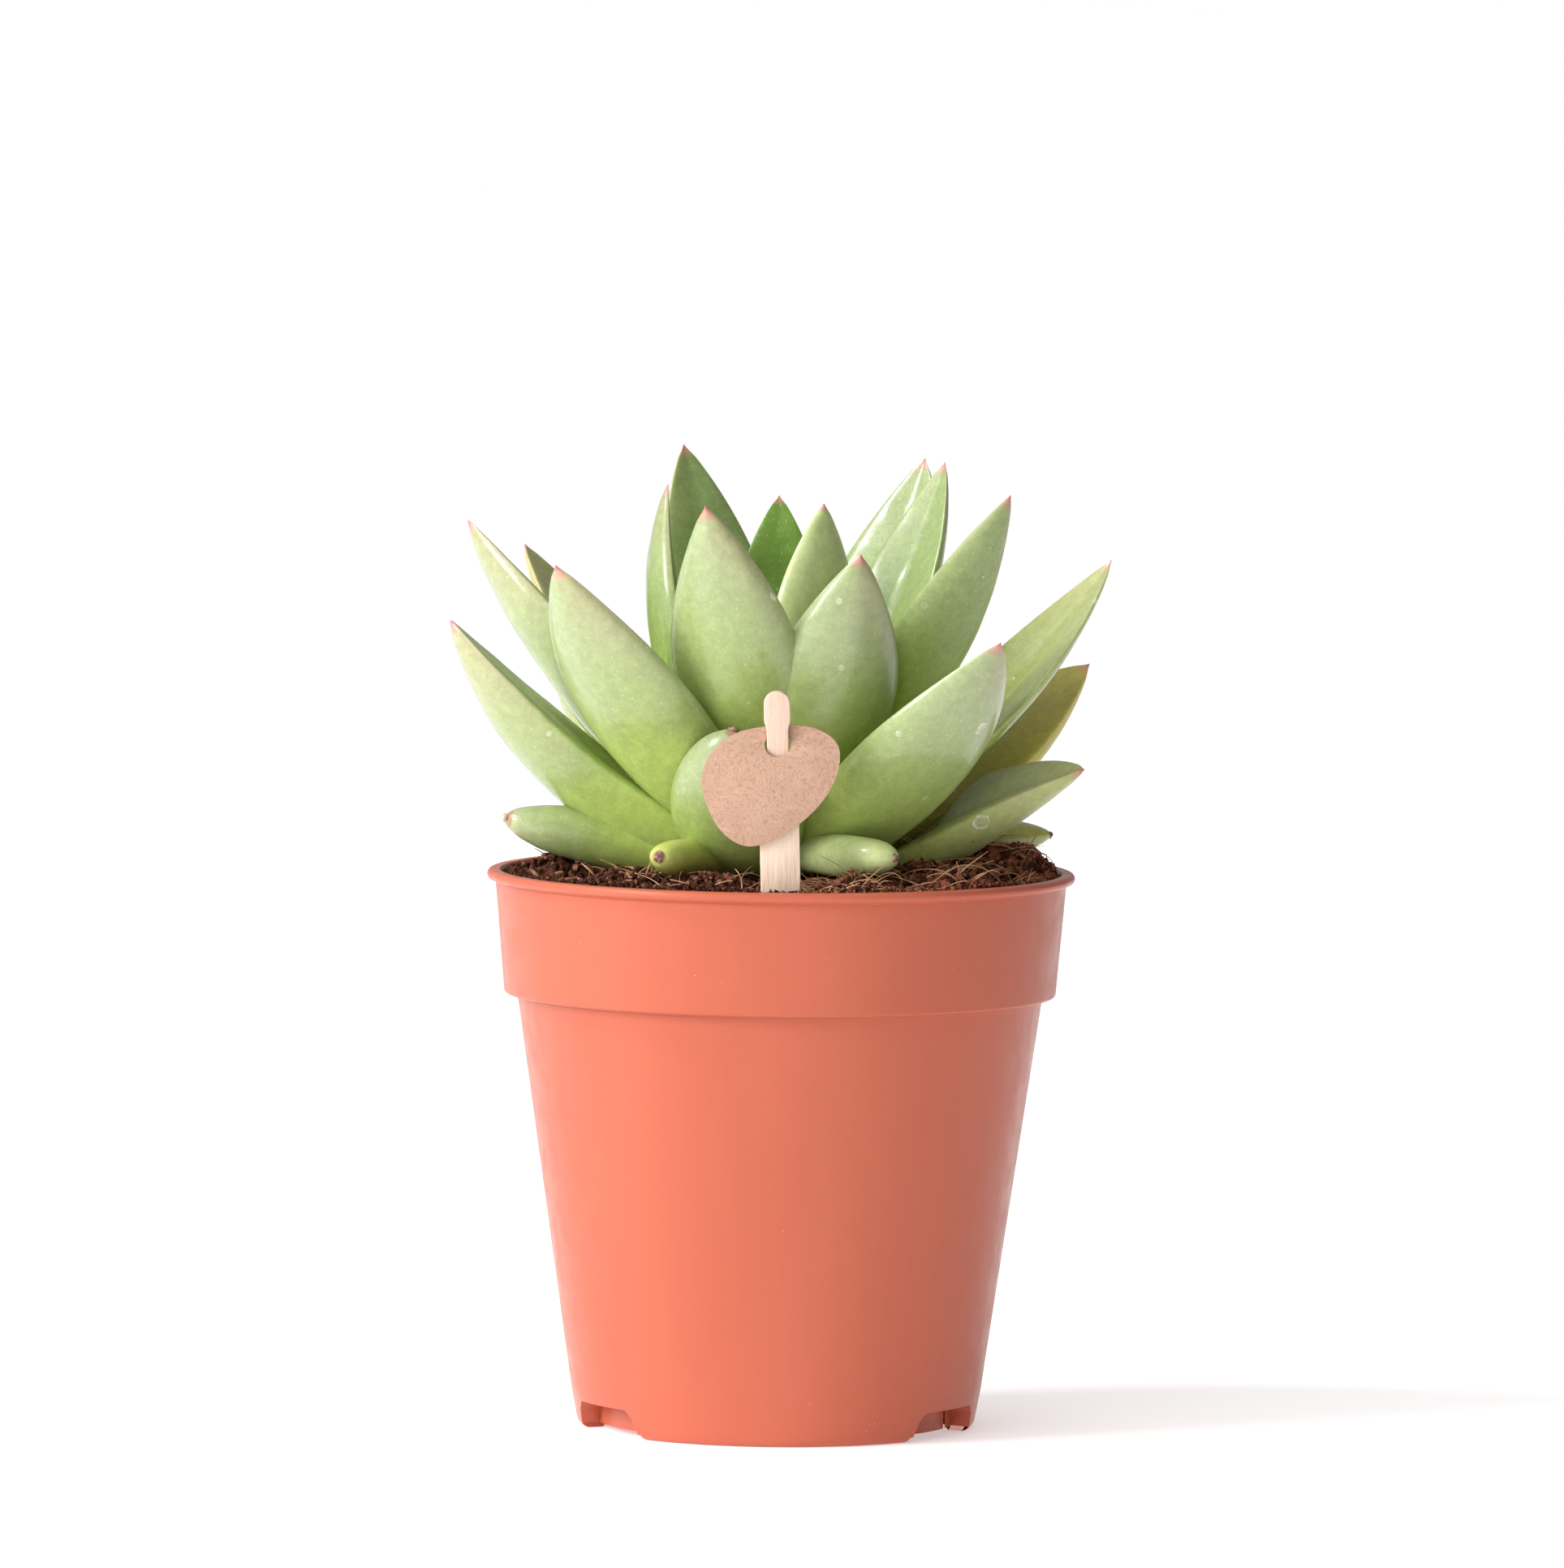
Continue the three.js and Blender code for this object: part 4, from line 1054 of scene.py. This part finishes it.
def pot_finish():
    finish = Finish("terracotta_plastic")
    drift = finish.fade(finish.noise(28, 3, stretch=(1, 1, 0.35)), 0.3, 0.7)
    paint = finish.mix(drift, colour(0.455, 0.105, 0.057), colour(0.495, 0.119, 0.067))
    flecks, _ = finish.cells(420)
    patches = finish.fade(finish.noise(90, 2), 0.54, 0.66, 0, 0.6)
    flecks = finish.times(finish.fade(flecks, 0.02, 0.06, 1, 0), patches)
    paint = finish.mix(flecks, paint, colour(0.85, 0.52, 0.42))
    # The inner wall above the soil, just under the rim, is darkened in blotches: partly soil on the wall,
    # partly painted shade.
    blotches = finish.noise(400, 4, 0.6)
    within = finish.fade(finish.radius(), 0.0421, 0.0424, 1, 0)
    soiled_and_shaded = finish.times(within, finish.fade(blotches, 0.25, 0.5, 0.6, 0.95))
    soiled_and_shaded = finish.times(soiled_and_shaded, finish.fade(finish.height(), 0.0795, 0.0805))
    paint = finish.mix(soiled_and_shaded, paint, colour(0.07, 0.025, 0.015))
    peel = finish.bump(finish.noise(1300, 2), 0.00002)
    sink = finish.bump(finish.noise(70, 2, stretch=(1, 1, 0.4)), 0.0002, peel)
    finish.surface(
        base_color=paint,
        roughness=finish.fade(finish.noise(260, 3), 0.3, 0.7, 0.28, 0.38),
        specular_ior_level=0.24,
        subsurface_weight=0.06,
        subsurface_radius=(1.0, 0.4, 0.25),
        subsurface_scale=0.0015,
        normal=sink,
    )
    return finish.material


def soil_finish():
    finish = Finish("peat")
    coarse = finish.noise(350, 6, 0.65)
    fine = finish.noise(1800, 4, 0.7)
    paint = finish.mix(finish.fade(coarse, 0.35, 0.68), colour(0.07, 0.022, 0.012), colour(0.36, 0.12, 0.06))
    paint = finish.mix(finish.fade(fine, 0.6, 0.75, 0, 0.5), paint, colour(0.42, 0.19, 0.10))
    finish.surface(
        base_color=paint,
        roughness=0.9,
        specular_ior_level=0.3,
        normal=finish.bump(fine, 0.0006, finish.bump(coarse, 0.0014)),
    )
    return finish.material


def crumb_finish():
    finish = Finish("peat_crumbs")
    shade, second, _ = finish.stored("crumb")
    grain = finish.noise(2200, 4, 0.7)
    # The first stored number runs from dark to light crumbs; its trend from left to right is painted shade
    # and painted light.
    paint = finish.mix(finish.fade(shade, 0.1, 1.0), colour(0.085, 0.026, 0.015), colour(0.52, 0.165, 0.09))
    paint = finish.mix(finish.fade(second, 0.9, 0.97, 0, 0.7), paint, colour(0.46, 0.19, 0.105))
    paint = finish.mix(finish.fade(grain, 0.5, 0.72, 0, 0.55), paint, colour(0.46, 0.17, 0.09))
    finish.surface(
        base_color=paint,
        roughness=0.9,
        specular_ior_level=0.25,
        normal=finish.bump(grain, 0.0006, finish.bump(finish.noise(900, 5, 0.65), 0.0012)),
    )
    return finish.material


def fibre_finish():
    finish = Finish("coir_fibre")
    tone = finish.noise(250, 3)
    paint = finish.mix(finish.fade(tone, 0.35, 0.65), colour(0.34, 0.14, 0.065), colour(0.66, 0.38, 0.21))
    finish.surface(
        base_color=paint,
        roughness=0.7,
        normal=finish.bump(finish.noise(4000, 2), 0.0001),
    )
    return finish.material


def bark_finish():
    finish = Finish("bark")
    tone = finish.noise(300, 4, stretch=(1, 3, 3))
    paint = finish.mix(finish.fade(tone, 0.3, 0.65), colour(0.15, 0.05, 0.028), colour(0.46, 0.21, 0.12))
    finish.surface(
        base_color=paint,
        roughness=0.85,
        normal=finish.bump(finish.noise(1500, 4, stretch=(1, 3, 3)), 0.0005),
    )
    return finish.material


def wood_finish():
    finish = Finish("stick_wood")
    grain = finish.noise(900, 4, 0.6, stretch=(1, 1, 0.06))
    wide = finish.noise(200, 2, 0.5, stretch=(1, 1, 0.1))
    paint = finish.mix(finish.fade(wide, 0.3, 0.7), colour(0.84, 0.66, 0.52), colour(0.76, 0.57, 0.43))
    # Darker towards the head: painted shade that tones down the extra light that the head of the stick
    # catches.
    paint = finish.mix(finish.fade(finish.height(), 0.1, 0.107, 0, 0.8), paint, colour(0.64, 0.44, 0.35))
    paint = finish.mix(finish.fade(grain, 0.5, 0.74, 0, 0.45), paint, colour(0.56, 0.38, 0.26))
    finish.surface(
        base_color=paint,
        roughness=0.72,
        normal=finish.bump(grain, 0.00022),
    )
    return finish.material


def card_finish():
    finish = Finish("kraft_card")
    cloud = finish.noise(260, 4, 0.65)
    speck = finish.noise(2300, 3, 0.7)
    paint = finish.mix(finish.fade(cloud, 0.3, 0.7), colour(0.465, 0.288, 0.202), colour(0.51, 0.322, 0.23))
    paint = finish.mix(finish.fade(speck, 0.5, 0.64, 0, 0.6), paint, colour(0.33, 0.18, 0.11))
    fibre = finish.noise(1100, 3, 0.6, stretch=(0.25, 1, 1))
    paint = finish.mix(finish.fade(fibre, 0.6, 0.75, 0, 0.35), paint, colour(0.70, 0.51, 0.39))
    finish.surface(
        base_color=paint,
        roughness=0.88,
        specular_ior_level=0.35,
        normal=finish.bump(speck, 0.00012, finish.bump(cloud, 0.0001)),
    )
    return finish.material


def floor_finish():
    finish = Finish("studio_floor")
    tone = finish.noise(3, 2)
    paint = finish.mix(finish.fade(tone, 0.3, 0.7), colour(0.90, 0.90, 0.90), colour(0.92, 0.92, 0.92))
    finish.surface(
        base_color=paint,
        roughness=0.75,
        specular_ior_level=0.1,
        emission_color=colour(1, 1, 1),
        emission_strength=FLOOR_GLOW,
    )
    return finish.material


def make_camera():
    data = bpy.data.cameras.new("camera")
    data.sensor_fit = "VERTICAL"
    data.sensor_height = SENSOR
    data.lens = FOCAL_PIXELS * SENSOR / IMAGE_HEIGHT
    data.clip_end = 50
    camera = bpy.data.objects.new("camera", data)
    bpy.context.scene.collection.objects.link(camera)
    look = Matrix.Rotation(math.radians(90 - CAMERA_PITCH), 4, "X")
    roll = Matrix.Rotation(math.radians(CAMERA_ROLL), 4, "Z")
    camera.matrix_world = Matrix.Translation((0, -CAMERA_AWAY, CAMERA_HEIGHT)) @ look @ roll
    bpy.context.scene.camera = camera


def make_sky():
    """A white room that is brightest overhead and behind, and dimmest in front and on the right."""
    world = bpy.data.worlds.new("studio")
    world.use_nodes = True
    nodes, links = world.node_tree.nodes, world.node_tree.links
    split = nodes.new("ShaderNodeSeparateXYZ")
    links.new(nodes.new("ShaderNodeTexCoord").outputs["Generated"], split.inputs["Vector"])
    total = None
    for axis, low, high, start, end in SKY:
        ramp = nodes.new("ShaderNodeMapRange")
        ramp.interpolation_type = "SMOOTHSTEP"
        links.new(split.outputs[axis], ramp.inputs["Value"])
        for key, number in (("From Min", low), ("From Max", high), ("To Min", start), ("To Max", end)):
            ramp.inputs[key].default_value = number
        if total:
            plus = nodes.new("ShaderNodeMath")
            links.new(total, plus.inputs[0])
            links.new(ramp.outputs["Result"], plus.inputs[1])
            total = plus.outputs["Value"]
        else:
            total = ramp.outputs["Result"]
    links.new(total, nodes["Background"].inputs["Strength"])
    nodes["Background"].inputs["Color"].default_value = colour(1, 1, 1)
    bpy.context.scene.world = world


def place_light(data, place, towards):
    light = bpy.data.objects.new(data.name, data)
    bpy.context.scene.collection.objects.link(light)
    light.location = place
    light.rotation_euler = (Vector(place) - Vector(towards)).to_track_quat("Z", "Y").to_euler()
    return light


def make_studio():
    bpy.context.scene.view_settings.view_transform = "Standard"
    make_sky()
    target = (0, 0, 0.1)
    fill = bpy.data.lights.new("fill", "SUN")
    fill.energy = FILL_STRENGTH
    fill.angle = math.radians(FILL_SPREAD)
    place_light(fill, FILL_FROM, (0, 0, 0)).visible_glossy = False
    for name, place, size, power in PANELS:
        panel = bpy.data.lights.new(name, "AREA")
        panel.shape = "RECTANGLE"
        panel.size, panel.size_y = size
        panel.energy = power
        place_light(panel, place, target)

    mesh = bpy.data.meshes.new("floor")
    outline = oblong(-FLOOR_HALF_WIDTH, FLOOR_HALF_WIDTH, FLOOR_FRONT, FLOOR_BACK)
    mesh.from_pydata([(x, y, 0) for x, y in outline], [], [(0, 1, 2, 3)])
    floor = bpy.data.objects.new("floor", mesh)
    bpy.context.scene.collection.objects.link(floor)
    mesh.materials.append(floor_finish())


make_camera()
make_studio()
make_pot(pot_finish())
make_soil(soil_finish())
make_crumbs(crumb_finish())
make_fibres(fibre_finish())
make_bark(bark_finish())
glossy_leaf = leaf_finish("leaf", 0.55, 0.45)
waxy_leaf = leaf_finish("leaf_with_wax", 0.2, 0)
nub_material = nub_finish()
for number, leaf in enumerate(LEAVES, 1):
    make_leaf(number, leaf, waxy_leaf if leaf.get("waxy") else glossy_leaf)
    if "nub" in leaf:
        make_nub(number, leaf, nub_material)
make_stem(stem_finish())
make_stick(wood_finish())
make_tag(card_finish())
